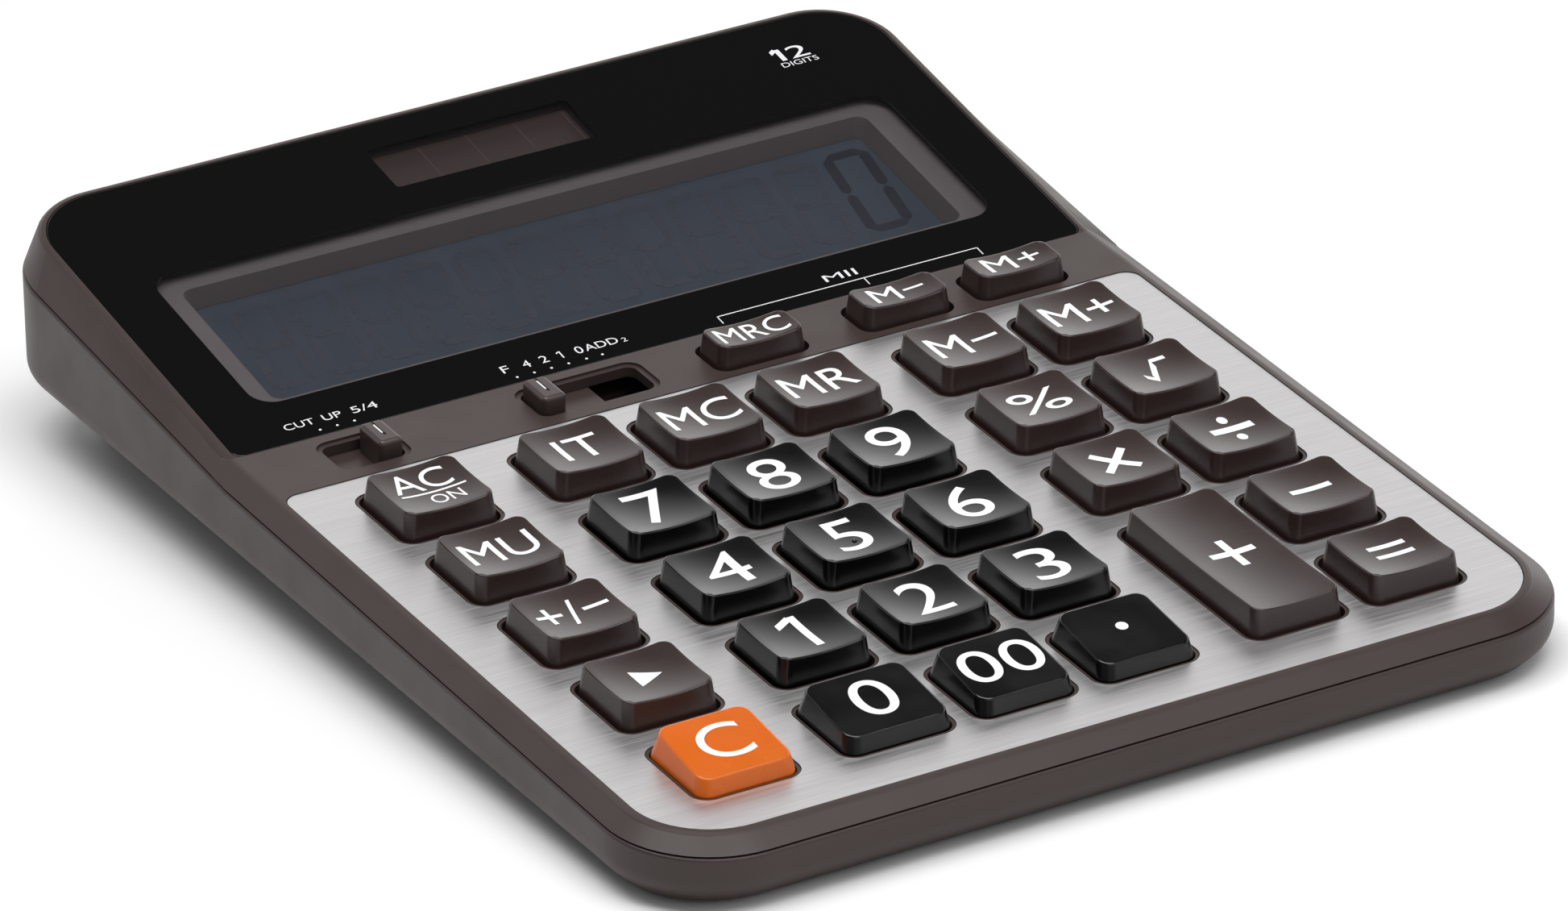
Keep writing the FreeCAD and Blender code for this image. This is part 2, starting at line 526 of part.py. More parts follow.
def make_case_fixings():
    """The six case screws, with cross recesses in their heads, and the four rubber feet."""
    head = "-(screw_seat+joint_gap)"
    heads = case_screw_posts("case_head", "head_radius", f"{head}-head_thick", head)
    shanks = case_screw_posts("case_shank", "screw_radius", f"{head}-0.1", "-screw_top")
    slots = []
    for row, (x, y) in enumerate(CASE_SCREWS):
        for side in (-1, 1):
            for turn, (wide, deep) in enumerate((("0.7", "2.8"), ("2.8", "0.7"))):
                slots.append(box(f"cross_{row}_{side}_{turn}", "deck", wide, deep, "-40",
                                 f"{head}-head_thick/2", f"{side}*{x}", y))
    made = {"case_screws": cut("case_screws", fuse("case_screw_stock", *heads, *shanks), *slots)}
    for end in ("front", "rear"):
        pair = [post(f"{end}_foot_{side}", "desk", "foot_radius", "0", "foot_gap+foot_sink-joint_gap",
                     f"{side}*{end}_foot_x", f"{end}_foot_y") for side in (-1, 1)]
        made[f"{end}_feet"] = fuse(f"{end}_feet", *pair)
    return made


def make_battery_parts():
    """The coin cell, its two contacts, the cover and the cover's screw."""
    centre = ("bay_x+cell_shift", "bay_y")
    foot = "foot_gap+cover_thick+3*joint_gap"
    cell = post("button_cell", "desk", "cell_radius", foot, f"{foot}+cell_thick", *centre)
    plus = box("battery_contact_plus", "desk", "contact_thick", "contact_width", foot,
               "bay_height-joint_gap", "bay_x+cell_shift-cell_radius-contact_thick", "bay_y")
    minus = box("battery_contact_minus", "desk", "contact_width*2", "contact_width",
                f"{foot}+cell_thick+joint_gap", f"{foot}+cell_thick+joint_gap+contact_thick", *centre)
    panel = box("cover_panel", "desk", "bay_width+2*(cover_lap-cover_gap)",
                "bay_depth+2*(cover_lap-cover_gap)", "foot_gap", "foot_gap+cover_thick",
                "bay_x", "bay_y")
    screw_at = ("bay_x+cover_screw_shift", "bay_y")
    sink = post("cover_sink", "desk", "cover_head+cover_gap", LOW, "foot_gap+cover_head_thick",
                *screw_at)
    way = post("cover_way", "desk", "cover_screw_radius+cover_gap", LOW, HIGH, *screw_at)
    grip = box("cover_grip", "desk", "1.2", "bay_depth*0.6", LOW, "foot_gap+0.5",
               "bay_x-bay_width/2+1.5", "bay_y")
    cover = cut("battery_cover", panel, sink, way, grip)
    head = post("cover_screw_head", "desk", "cover_head", "foot_gap+joint_gap",
                "foot_gap+cover_head_thick-joint_gap", *screw_at)
    shank = post("cover_screw_shank", "desk", "cover_screw_radius", "foot_gap+cover_head_thick/2",
                 "bay_height-1-joint_gap", *screw_at)
    slot = box("cover_screw_slot", "desk", "cover_head*2", "0.6", LOW, "foot_gap+0.45", *screw_at)
    screw = cut("battery_cover_screw", fuse("cover_screw_stock", head, shank), slot)
    return {"button_cell": cell, "battery_contact_plus": plus, "battery_contact_minus": minus,
            "battery_cover": cover, "battery_cover_screw": screw}


def make_slider(name):
    """One slide switch: a grooved knob on a shield that closes its slot, and its contact."""
    x, y = f"{name}_rest", "slot_row"
    top = "-(seam_drop+slide_gap)"
    knob = rounded(name + "_knob_block", "deck", "knob_width", "knob_depth", "knob_corner",
                   f"{top}-shield_thick/2", "knob_rise", mid_x=x, mid_y=y)
    knob = rounded_edges(name + "_knob", knob, "knob_round", at_level("deck", "knob_rise"))
    pointer = box(name + "_pointer", "deck", "pointer_width", "knob_depth*0.7",
                  "knob_rise-pointer_sink", HIGH, x, f"{y}+knob_depth*0.15")
    shield = box(name + "_shield", "deck", "shield_length", "shield_depth", f"{top}-shield_thick",
                 top, x, y)
    foot = f"{BOARD_TOP}+wiper_gap+wiper_thick"
    carrier = box(name + "_carrier", "deck", "carrier_size", "carrier_size", foot,
                  f"{top}-shield_thick/2", x, y)
    switch = cut(name + "_switch", fuse(name + "_stock", knob, shield, carrier), pointer)
    wiper = box(name + "_wiper", "deck", "carrier_size-1", "carrier_size-2",
                f"{BOARD_TOP}+wiper_gap", foot, x, y)
    return {name + "_switch": switch, name + "_wiper": wiper}


def make_key(name):
    """One keycap: drafted walls, a dished or sloping top, a hollow with a post, and a flange."""
    x, y, _, _, small = KEYS[name]
    width, depth = key_base(name)
    rise = "small_rise" if small else "key_rise"
    inset_y = "small_inset_y" if small else "top_inset_y"
    corner = "cut_corner-collar_gap-collar_wall-key_gap"
    body = doc.addObject("PartDesign::Body", "key_" + name)
    plane = next(f for f in body.Origin.OriginFeatures if f.Role == "XY_Plane")

    def section(kind, level, wide, deep, round_off):
        sketch = body.newObject("Sketcher::SketchObject", f"{name}_{kind}")
        sketch.AttachmentSupport = [(plane, "")]
        sketch.MapMode = "FlatFace"
        sketch.setExpression("AttachmentOffset.Base.z", formula(level))
        draw_rounded(sketch, wide, deep, round_off)
        return sketch

    def feature(kind, sketch, length, reverse):
        made = body.newObject("PartDesign::" + kind, f"{sketch.Name}_{kind.lower()}")
        made.Profile = sketch
        made.Reversed = reverse
        bind(made, Length=length)
        return made

    base = section("base", "0", width, depth, corner)
    top = section("top", rise, f"{width}-2*top_inset_x", f"{depth}-2*{inset_y}", f"{corner}-0.2")
    walls = body.newObject("PartDesign::AdditiveLoft", name + "_walls")
    walls.Profile = base
    walls.Sections = [top]
    walls.Ruled = True
    skirt = section("skirt", "0", width, depth, corner)
    feature("Pad", skirt, f"-({KEY_FOOT})", True)
    flange = section("flange", "-(seam_drop+flange_clear)", f"{width}+2*flange_out",
                     f"{depth}+2*flange_out", corner)
    feature("Pad", flange, "flange_thick", True)
    room = section("room", KEY_FOOT, f"{width}-2*cap_wall", f"{depth}-2*cap_wall", "0.8")
    feature("Pocket", room, f"{rise}-1.8-({KEY_FOOT})", True)
    stem = section("stem", KEY_FOOT, "post_size", "post_size", "0.5")
    feature("Pad", stem, f"{rise}-1.5-({KEY_FOOT})", False)
    if name in SLOPED_KEYS:
        slope = body.newObject("PartDesign::SubtractiveBox", name + "_slope")
        bind(slope, Length=f"{width}*2", Width=f"{depth}*2", Height="key_rise")
        slope.Placement = FreeCAD.Placement(Vector(), FreeCAD.Rotation(Vector(1, 0, 0), 1.0))
        slope.setExpression("Placement.Rotation.Angle", formula("front_slope*1deg"))
        slope.setExpression("Placement.Base.x", formula(f"-{width}"))
        slope.setExpression("Placement.Base.y", formula(f"-{depth}*cos(front_slope)"))
        drop = f"{depth}*(sin(front_slope)+0.27*tan(front_slope))"
        slope.setExpression("Placement.Base.z", formula(f"key_rise-0.35-{drop}"))
        doc.recompute()
        soft = body.newObject("PartDesign::Fillet", name + "_soft")
        soft.Base = (slope, rim_edges(slope.Shape, value(rise)))
        bind(soft, Radius="top_round")
    else:
        dish = body.newObject("PartDesign::SubtractiveCylinder", name + "_dish")
        bind(dish, Radius="dish_radius", Height=f"{depth}*2")
        dish.Placement = FreeCAD.Placement(Vector(), FreeCAD.Rotation(Vector(1, 0, 0), -90))
        dish.setExpression("Placement.Base.y", formula(f"-{depth}"))
        dish.setExpression("Placement.Base.z", formula(f"{rise}-0.55+dish_radius"))
    place(body, "deck", x, y)
    return body


def rim_edges(shape, rise):
    """The edges round a keycap's top face."""
    top = max((f for f in shape.Faces if f.CenterOfMass.z > rise * 0.6
               and abs(f.normalAt(*f.Surface.parameter(f.CenterOfMass)).z) > 0.9),
              key=lambda face: face.Area)
    return [f"Edge{i}" for i, edge in enumerate(shape.Edges, 1)
            if any(edge.isSame(other) for other in top.Edges)]


def main():
    """Make every piece, check it and write it."""
    pieces = {"upper_case": make_upper_case(), "lower_case": make_lower_case(),
              "face_plate": make_face_plate()}
    pieces.update(make_display())
    pieces.update(make_board())
    pieces.update(make_case_fixings())
    pieces.update(make_battery_parts())
    for name in SLIDERS:
        pieces.update(make_slider(name))
    for name in KEYS:
        pieces["key_" + name] = make_key(name)
    doc.recompute()
    failed = [thing.Label for thing in doc.Objects if {"Invalid", "Error"} & set(thing.State)]
    if failed:
        raise SystemExit(f"not built: {failed}")
    os.makedirs("parts", exist_ok=True)
    for name, piece in pieces.items():
        piece.Label = name
        if piece.Shape.isNull() or not piece.Shape.isValid():
            raise SystemExit(f"{name} has no valid shape")
        piece.Shape.exportStep(f"parts/{name}.step")
        print(name, len(piece.Shape.Solids), round(piece.Shape.Volume, 1))


main()
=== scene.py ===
"""A desk calculator with a tilted display: keycaps, legends, window, digits, finishes and studio."""
import math

import bmesh
import bpy
from bpy.props import FloatProperty, FloatVectorProperty, IntProperty, PointerProperty
from mathutils import Euler, Matrix, Vector


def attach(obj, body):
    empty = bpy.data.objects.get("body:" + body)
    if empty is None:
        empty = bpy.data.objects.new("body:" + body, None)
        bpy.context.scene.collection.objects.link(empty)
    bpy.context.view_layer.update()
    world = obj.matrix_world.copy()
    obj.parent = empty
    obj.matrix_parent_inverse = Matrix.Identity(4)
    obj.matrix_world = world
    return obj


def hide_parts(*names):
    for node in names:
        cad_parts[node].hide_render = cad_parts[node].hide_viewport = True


bl_info = {
    "name": "Desk Calculator",
    "version": (1, 0, 0),
    "blender": (4, 5, 0),
    "location": "View3D > Sidebar > Calculator",
    "description": "Keycaps, legends, display window and finishes of a desk calculator",
    "category": "Add Mesh",
}

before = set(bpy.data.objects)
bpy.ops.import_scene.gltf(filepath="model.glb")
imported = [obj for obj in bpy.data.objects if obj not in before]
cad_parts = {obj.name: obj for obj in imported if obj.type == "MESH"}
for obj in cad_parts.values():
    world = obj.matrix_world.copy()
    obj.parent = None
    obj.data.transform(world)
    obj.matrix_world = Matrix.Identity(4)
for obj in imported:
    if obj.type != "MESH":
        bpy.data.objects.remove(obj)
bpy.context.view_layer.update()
MM = 0.001
TINY = 1e-6
CASE = "calculator_body"

PLATE_TILT = math.radians(4.0)
WINDOW_TILT = math.radians(12.44)

# key: (legend, width and height of the legend in mm), or None where the legend is drawn from bars and dots
DISHED_LEGENDS = {
    "equals": ("=", 6.2, 3.8), "plus": ("+", 7.3, 8.1), "minus": ("−", 6.8, 1.2),
    "times": ("×", 6.4, 6.8), "divide": ("÷", 7.0, 7.8), "percent": ("%", 9.0, 6.6),
    "root": None, "markup": ("MU", 11.4, 6.4), "item": ("IT", 7.2, 6.4),
    "memory_clear": ("MC", 11.6, 6.6), "memory_recall": ("MR", 11.4, 6.4),
    "memory_minus": ("M−", 11.2, 6.4), "memory_plus": ("M+", 11.6, 6.4),
    "total_recall": ("MRC", 11.6, 4.6), "total_minus": ("M−", 9.0, 4.4), "total_plus": ("M+", 9.4, 4.4),
    "one": None, "two": ("2", 6.0, 9.2), "three": ("3", 6.0, 9.4), "four": ("4", 6.9, 9.3),
    "five": ("5", 5.8, 9.2), "six": ("6", 6.2, 9.4), "seven": ("7", 6.4, 9.3), "eight": ("8", 6.3, 9.4),
    "nine": ("9", 6.2, 9.4), "sign": ("+/−", 11.6, 7.0), "arrow": None, "all_clear": None,
}
SLOPED_LEGENDS = {
    "clear_entry": ("C", 7.6, 8.0), "zero": ("0", 6.6, 8.4), "double_zero": ("00", 13.0, 7.6),
    "point": None,
}
BLACK_KEYS = ("one", "two", "three", "four", "five", "six", "seven", "eight", "nine",
              "zero", "double_zero", "point")

# bars of the root sign: name, width, height, middle across, middle up, climb; all in mm but the climb
ROOT_BARS = (("down", 1.2, 1.48, -1.9, -2.04, -1.3), ("up", 2.0, 2.26, -0.3, -0.13, 2.3),
             ("over", 2.5, 0.9, 1.95, 2.85, 0.0))

# printing on the window, in mm from its front left corner
WINDOW_WORDS = (  # name, text, width, height, middle across, middle up
    ("cut", "CUT", 5.0, 1.5, 12.5, 3.8), ("up", "UP", 3.1, 1.5, 18.0, 3.8),
    ("round", "5/4", 4.3, 1.6, 23.4, 3.8), ("two_totals", "MII", 5.6, 1.7, 105.9, 5.0),
    ("add", "ADD", 5.6, 1.6, 63.7, 3.8), ("add_two", "2", 0.8, 1.0, 67.5, 3.4),
    ("count_two", "2", 3.3, 3.2, 130.6, 61.0), ("count_word", "DIGITS", 6.4, 1.25, 129.6, 58.3),
    ("step_none", "F", 1.25, 1.75, 47.3, 3.8), ("step_four", "4", 1.25, 1.75, 50.9, 3.8),
    ("step_two", "2", 1.25, 1.75, 53.9, 3.8), ("step_nought", "0", 1.25, 1.75, 59.9, 3.8),
)
WINDOW_ONES = (("count_one", 3.2, 0.85, 127.6, 61.0), ("step_one", 1.75, 0.24, 56.9, 3.8))
WINDOW_BARS = (  # name, width, height, middle across, middle up
    ("bracket", 45.8, 0.2, 106.1, 2.9), ("bracket_left", 0.2, 2.0, 83.3, 2.0),
    ("bracket_right", 0.2, 2.0, 128.9, 2.0), ("bracket_middle", 0.2, 1.8, 108.9, 2.0),
)
SWITCH_PLACES = (14.76, 17.63, 20.51, 48.04, 50.96, 53.9, 56.83, 59.88, 62.61)

# moulded finishes: name, colour, roughness, size and depth of the grain in mm, nodes
MOULDINGS = (
    ("foot_rubber_matt", (0.020, 0.020, 0.021), 0.78, 0.5, 0.03, ("front_feet", "rear_feet")),
    ("board_phenolic", (0.016, 0.010, 0.008), 0.42, 0.8, 0.01, ("circuit_board",)),
    ("chip_gloss", (0.012, 0.012, 0.013), 0.22, 1.5, 0.03, ("chip_cover",)),
    ("strip_amber", (0.030, 0.019, 0.013), 0.45, 1.0, 0.004, ("lcd_connector",)),
)
# metal finishes: name, colour, roughness, streak size in mm, stretch, depth in mm, nodes
METALS = (
    ("screw_zinc", (0.42, 0.42, 0.44), 0.34, 0.3, (1.0, 1.0, 0.2), 0.01,
     ("board_screws", "case_screws", "battery_cover_screw")),
    ("cell_nickel", (0.62, 0.62, 0.60), 0.28, 0.4, (1.0, 0.2, 1.0), 0.004, ("button_cell",)),
    ("contact_sprung", (0.60, 0.57, 0.50), 0.30, 0.3, (0.1, 1.0, 1.0), 0.004,
     ("battery_contact_plus", "battery_contact_minus", "rounding_wiper", "decimal_wiper")),
    ("reflector_foil", (0.50, 0.52, 0.50), 0.40, 0.3, (0.1, 1.0, 1.0), 0.004, ("lcd_backing",)),
)

# softboxes: name, place, width and depth in metres, share of the studio's power
SOFTBOXES = (("softbox_top", (-0.10, -0.10, 1.1), 1.3, 0.7, 1.0),
             ("softbox_front", (0.25, -1.15, 0.75), 2.2, 1.2, 0.45))


def a_length(name, description, default):
    """A length in a group of sizes."""
    return FloatProperty(name=name, description=description, default=default, unit="LENGTH")


def a_colour(name, description, default):
    """A colour in a group of colours."""
    return FloatVectorProperty(name=name, description=description, default=default,
                               subtype="COLOR", size=3)


def an_angle(name, description, degrees):
    """An angle in a group of sizes."""
    return FloatProperty(name=name, description=description, default=math.radians(degrees),
                         subtype="ANGLE")


class CapSizes(bpy.types.PropertyGroup):
    """Sizes of the moulded keycaps."""
    draft_side: a_length("Side draft", "How far each side wall leans in", 0.85 * MM)
    draft_end: a_length("End draft", "How far the front and rear walls lean in", 0.95 * MM)
    corner: a_length("Corner", "Radius of the upright corners", 2.0 * MM)
    dish: a_length("Dish", "Radius of the hollow along the top", 42.0 * MM)
    dish_along: a_length("Long dish", "Radius of the hollow from front to rear", 62.0 * MM)
    long_depth: a_length("Long depth", "Sets how shallow the hollow of a long key is", 0.8 * MM)
    edge: a_length("Top edge", "Rounding of the edge round the top", 0.26 * MM)
    flange: a_length("Flange", "How far the hidden flange stands out from a key", 0.8 * MM)
    slices: IntProperty(name="Slices", description="Cuts each way across the top that follow the dish",
                        default=11)


class PrintSizes(bpy.types.PropertyGroup):
    """Sizes of the printing, of the painted highlight lines on the knobs and of the nub on the middle key.
    """
    film: a_length("Ink film", "Thickness of the ink on the keys", 0.02 * MM)
    thin_film: a_length("Thin film", "Thickness of the window's ink and of the digits", 0.01 * MM)
    slice: a_length("Slice", "Size of the facets that follow a dished top", 0.8 * MM)
    lift: a_length("Lift", "Clearance under the ink", 0.006 * MM)
    # The pointer lines below are painted highlights: white lines standing for the light caught along each
    # knob's pointer groove.
    pointer_width: a_length("Pointer width", "Width of a knob's pointer line", 0.32 * MM)
    pointer_front: a_length("Pointer front", "From a knob's middle to the line's front end", 0.4 * MM)
    pointer_rear: a_length("Pointer rear", "From a knob's middle to the line's rear end", 2.4 * MM)
    pointer_foot: a_length("Pointer foot", "Underside of the line below the knob's top", 0.28 * MM)
    pointer_top: a_length("Pointer top", "Top of the line below the knob's top", 0.12 * MM)
    pointer_edge: a_length("Pointer edge", "Rounding of the line's edge", 0.05 * MM)
    nub: a_length("Nub", "Radius of the nub on the middle key", 0.42 * MM)
    nub_right: a_length("Nub right", "From the key's middle to the nub, across", 0.2 * MM)
    nub_front: a_length("Nub front", "From the key's middle to the nub, forward", 1.6 * MM)
    nub_rise: a_length("Nub rise", "Middle of the nub above the middle of the dish", 0.071 * MM)


class WindowSizes(bpy.types.PropertyGroup):
    """Sizes of the display window and what shows through it."""
    view_width: a_length("View width", "Clear opening, left to right", 127.6 * MM)
    view_depth: a_length("View depth", "Clear opening, front to rear", 36.2 * MM)
    view_front: a_length("View front", "From the window's front edge to the opening", 10.2 * MM)
    view_corner: a_length("View corner", "Corner radius of the opening", 4.0 * MM)
    cell_corner: a_length("Cell corner", "Corner radius of the solar cell's opening", 0.6 * MM)
    rear_corner: a_length("Rear corner", "Radius of the window's rear corners", 11.0 * MM)
    front_corner: a_length("Front corner", "Radius of the window's front corners", 1.8 * MM)
    edge: a_length("Edge", "Rounding of the edge round the window", 0.18 * MM)
    pane: a_length("Pane", "Thickness of the clear pane", 0.5 * MM)
    digits: IntProperty(name="Digits", description="Digit places on the display", default=12)
    # The digit size and place are judged from the shown nought together with its blurred shadow on the
    # reflector, so the dark nought is partly painted shadow.
    digit_pitch: a_length("Digit pitch", "From one digit to the next", 9.4 * MM)
    digit_width: a_length("Digit width", "Width of a digit", 8.2 * MM)
    digit_height: a_length("Digit height", "Height of a digit", 21.5 * MM)
    digit_stroke: a_length("Digit stroke", "Width of a digit's bars", 1.8 * MM)
    digit_gap: a_length("Digit gap", "From the glass up to the digits", 0.02 * MM)
    digit_lean: FloatProperty(name="Digit lean", description="Slant of a digit", default=0.14)
    digit_right: FloatProperty(name="Digits right", description="Shift of the digits, in pitches",
                               default=0.1)
    digit_level: FloatProperty(name="Digit level", description="Middle of the digits, in view depths",
                               default=0.54)


class Colours(bpy.types.PropertyGroup):
    """Base colours of the finishes."""
    case: a_colour("Case", "Dark warm grey case plastic", (0.044, 0.030, 0.027))
    brown_key: a_colour("Brown keys", "Function keys", (0.030, 0.0175, 0.0155))
    black_key: a_colour("Black keys", "Number keys", (0.0018, 0.0018, 0.0022))
    orange_key: a_colour("Orange key", "Clear key", (0.66, 0.125, 0.004))
    ink: a_colour("Ink", "Printed legends", (0.86, 0.86, 0.88))
    metal: a_colour("Plate", "Brushed plate", (0.76, 0.745, 0.75))


class StudioSizes(bpy.types.PropertyGroup):
    """Where the camera stands and how bright the studio is."""
    heading: an_angle("Heading", "Turn of the view to the right of straight ahead", 29.13)
    elevation: an_angle("Elevation", "How far the camera looks down", 24.71)
    roll: an_angle("Roll", "Turn of the camera about its own axis", -2.2)
    distance: a_length("Distance", "Camera to the point it aims at", 1.656)
    aim: FloatVectorProperty(name="Aim", description="The point that the camera aims at", size=3,
                             default=(-3.23 * MM, -9.78 * MM, 18.0 * MM), unit="LENGTH")
    focal: FloatProperty(name="Focal length", description="In millimetres", default=258.36)
    sensor: FloatProperty(name="Sensor", description="Width in millimetres", default=36.0)
    softbox: FloatProperty(name="Softbox", description="Power of the overhead softbox in watts",
                           default=14.0)
    backdrop: FloatProperty(name="Backdrop", description="Strength of the white backdrop", default=2.0)
    floor: a_length("Floor", "Side of the floor", 4.0)
    gap: a_length("Gap", "From the feet down to the floor", 0.05 * MM)


# ---------------------------------------------------------------- modelling helpers

def leave_edit():
    """Object mode with nothing selected."""
    if bpy.context.mode != "OBJECT":
        bpy.ops.object.mode_set(mode="OBJECT")
    bpy.ops.object.select_all(action="DESELECT")


def take(piece):
    """Makes a piece the only selected and active object."""
    leave_edit()
    piece.select_set(True)
    bpy.context.view_layer.objects.active = piece


def name_piece(name):
    """Gives the active object and its data a name."""
    piece = bpy.context.object
    piece.name = name
    piece.data.name = name
    return piece


def edit(piece, kind):
    """Edit mode on a piece, with nothing selected."""
    take(piece)
    bpy.ops.object.mode_set(mode="EDIT")
    bpy.ops.mesh.select_mode(type=kind)
    bpy.ops.mesh.select_all(action="DESELECT")


def edit_all(piece, kind="VERT"):
    """Edit mode on a piece, with all of it selected."""
    edit(piece, kind)
    bpy.ops.mesh.select_all(action="SELECT")


def choose(piece, part, wanted):
    """Selects those of a piece's verts, edges or faces that are wanted."""
    bpy.ops.mesh.select_all(action="DESELECT")
    shape = bmesh.from_edit_mesh(piece.data)
    shape.normal_update()
    for item in getattr(shape, part):
        if wanted(item):
            item.select_set(True)
    bmesh.update_edit_mesh(piece.data)


def apply_modifier(piece, kind, **settings):
    """Adds a modifier, sets it and applies it."""
    take(piece)
    bpy.ops.object.modifier_add(type=kind)
    modifier = piece.modifiers[-1]
    for key, setting in settings.items():
        setattr(modifier, key, setting)
    bpy.ops.object.modifier_apply(modifier=modifier.name)


def settle(piece, level=None):
    """Puts a piece on a level, if one is given, and leaves its place in its mesh."""
    if level is not None:
        piece.matrix_world = level @ piece.matrix_world
    take(piece)
    bpy.ops.object.transform_apply(location=True, rotation=True, scale=True)
    leave_edit()


def block(name, low, high):
    """A block between two opposite corners, placed in its mesh."""
    leave_edit()
    low, high = Vector(low), Vector(high)
    bpy.ops.mesh.primitive_cube_add(size=1.0, location=(low + high) / 2, scale=high - low)
    piece = name_piece(name)
    bpy.ops.object.transform_apply(location=True, rotation=True, scale=True)
    return piece


def is_upright(edge):
    """True for an edge that runs straight up."""
    first, second = edge.verts
    return (first.co.xy - second.co.xy).length < TINY


def round_uprights(piece, radius, segments, wanted=lambda edge: True):
    """Rounds the upright edges of a block."""
    edit(piece, "EDGE")
    choose(piece, "edges", lambda edge: is_upright(edge) and wanted(edge))
    bpy.ops.mesh.bevel(offset=radius, segments=segments, affect="EDGES")
    bpy.ops.object.mode_set(mode="OBJECT")


def soften(piece, angle):
    """Smooth shading that keeps flat faces flat."""
    take(piece)
    bpy.ops.object.shade_smooth_by_angle(angle=angle)
    apply_modifier(piece, "WEIGHTED_NORMAL", keep_sharp=True)


def copy_piece(source, name, offset):
    """A copy of a piece with its own mesh, moved by offset."""
    take(source)
    bpy.ops.object.duplicate(linked=False)
    piece = name_piece(name)
    bpy.ops.transform.translate(value=offset)
    bpy.ops.object.transform_apply(location=True, rotation=True, scale=True)
    return piece


def join(name, pieces):
    """Several pieces as one."""
    leave_edit()
    for piece in pieces:
        piece.select_set(True)
    bpy.context.view_layer.objects.active = pieces[0]
    bpy.ops.object.join()
    return name_piece(name)


def remove(piece):
    """Deletes a helper piece."""
    take(piece)
    bpy.ops.object.delete()


def span(points):
    """Lowest and highest corner of the box round some points."""
    low = Vector([min(point[axis] for point in points) for axis in range(3)])
    high = Vector([max(point[axis] for point in points) for axis in range(3)])
    return low, high


def box_on(level, node):
    """Lowest and highest corner of a CAD node, measured on a level."""
    back = level.inverted()
    return span([back @ vertex.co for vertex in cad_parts[node].data.vertices])


def level_on(node, tilt):
    """The level of a tilted node: x across, y up the slope from its front edge, z off its top."""
    turn = Matrix.Rotation(tilt, 4, "X")
    low, high = box_on(turn, node)
    return Matrix.Translation(turn @ Vector((0.0, low.y, high.z))) @ turn


def finish_piece(piece, body, slot, finish, *nodes):
    """Attaches a piece to the body it rides on, hides the nodes it stands for, and paints it; its slot is
    not used.
    """
    piece.data.materials.clear()
    piece.data.materials.append(finish)
    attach(piece, body)
    if nodes:
        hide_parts(*nodes)


PLATE_LEVEL = level_on("face_plate", PLATE_TILT)
WINDOW_LEVEL = level_on("display_window", WINDOW_TILT)


# ---------------------------------------------------------------- finishes

def new_finish(name, colour, roughness, **values):
    """A shader with constant values set on its own sockets."""
    finish = bpy.data.materials.new(name)
    finish.use_nodes = True
    shader = finish.node_tree.nodes["Principled BSDF"]
    shader.inputs["Base Color"].default_value = (*colour, 1.0)
    shader.inputs["Roughness"].default_value = roughness
    for key, setting in values.items():
        shader.inputs[key.replace("_", " ")].default_value = setting
    return finish


def add_node(finish, kind, **values):
    """A node in a finish, with its input values."""
    node = finish.node_tree.nodes.new(kind)
    for key, setting in values.items():
        node.inputs[key.replace("_", " ")].default_value = setting
    return node


def noise(finish, size, stretch=(1.0, 1.0, 1.0), detail=3.0):
    """A noise of a given grain size in metres, on object coordinates."""
    link = finish.node_tree.links.new
    place = add_node(finish, "ShaderNodeTexCoord")
    spread = add_node(finish, "ShaderNodeMapping", Scale=stretch)
    grain = add_node(finish, "ShaderNodeTexNoise", Scale=1.0 / size, Detail=detail)
    link(place.outputs["Object"], spread.inputs["Vector"])
    link(spread.outputs["Vector"], grain.inputs["Vector"])
    return grain.outputs["Fac"]


def vary(finish, source, socket, low, high):
    """Drives a number of the shader from a noise, between low and high."""
    link = finish.node_tree.links.new
    spread = add_node(finish, "ShaderNodeMapRange", From_Min=0.3, From_Max=0.7, To_Min=low, To_Max=high)
    link(source, spread.inputs["Value"])
    link(spread.outputs["Result"], finish.node_tree.nodes["Principled BSDF"].inputs[socket])


def tint(finish, source, first, second, low=0.3, high=0.7):
    """Drives the colour of the shader from a pattern, between two colours."""
    link = finish.node_tree.links.new
    ramp = add_node(finish, "ShaderNodeValToRGB")
    ramp.color_ramp.elements[0].position = low
    ramp.color_ramp.elements[0].color = (*first, 1.0)
    ramp.color_ramp.elements[1].position = high
    ramp.color_ramp.elements[1].color = (*second, 1.0)
    link(source, ramp.inputs["Fac"])
    link(ramp.outputs["Color"], finish.node_tree.nodes["Principled BSDF"].inputs["Base Color"])


def wear(finish, low, high, size):
    """Makes the roughness drift between two values."""
    vary(finish, noise(finish, size), "Roughness", low, high)


def emboss(finish, source, depth, strength=1.0):
    """Presses a pattern into the surface, depth in metres."""
    link = finish.node_tree.links.new
    bump = add_node(finish, "ShaderNodeBump", Strength=strength, Distance=depth)
    link(source, bump.inputs["Height"])
    link(bump.outputs["Normal"], finish.node_tree.nodes["Principled BSDF"].inputs["Normal"])


def shade(colour, factor):
    """A colour made lighter or darker."""
    return tuple(min(1.0, channel * factor) for channel in colour)


def moulded(name, colour, roughness, grain, depth, **values):
    """Moulded plastic: a fine spark-eroded grain, with faint flow marks in tone and sheen."""
    finish = new_finish(name, colour, roughness, **values)
    emboss(finish, noise(finish, grain), depth)
    tint(finish, noise(finish, 18 * MM), shade(colour, 0.96), shade(colour, 1.04))
    vary(finish, noise(finish, 9 * MM), "Roughness", roughness - 0.04, roughness + 0.05)
    return finish


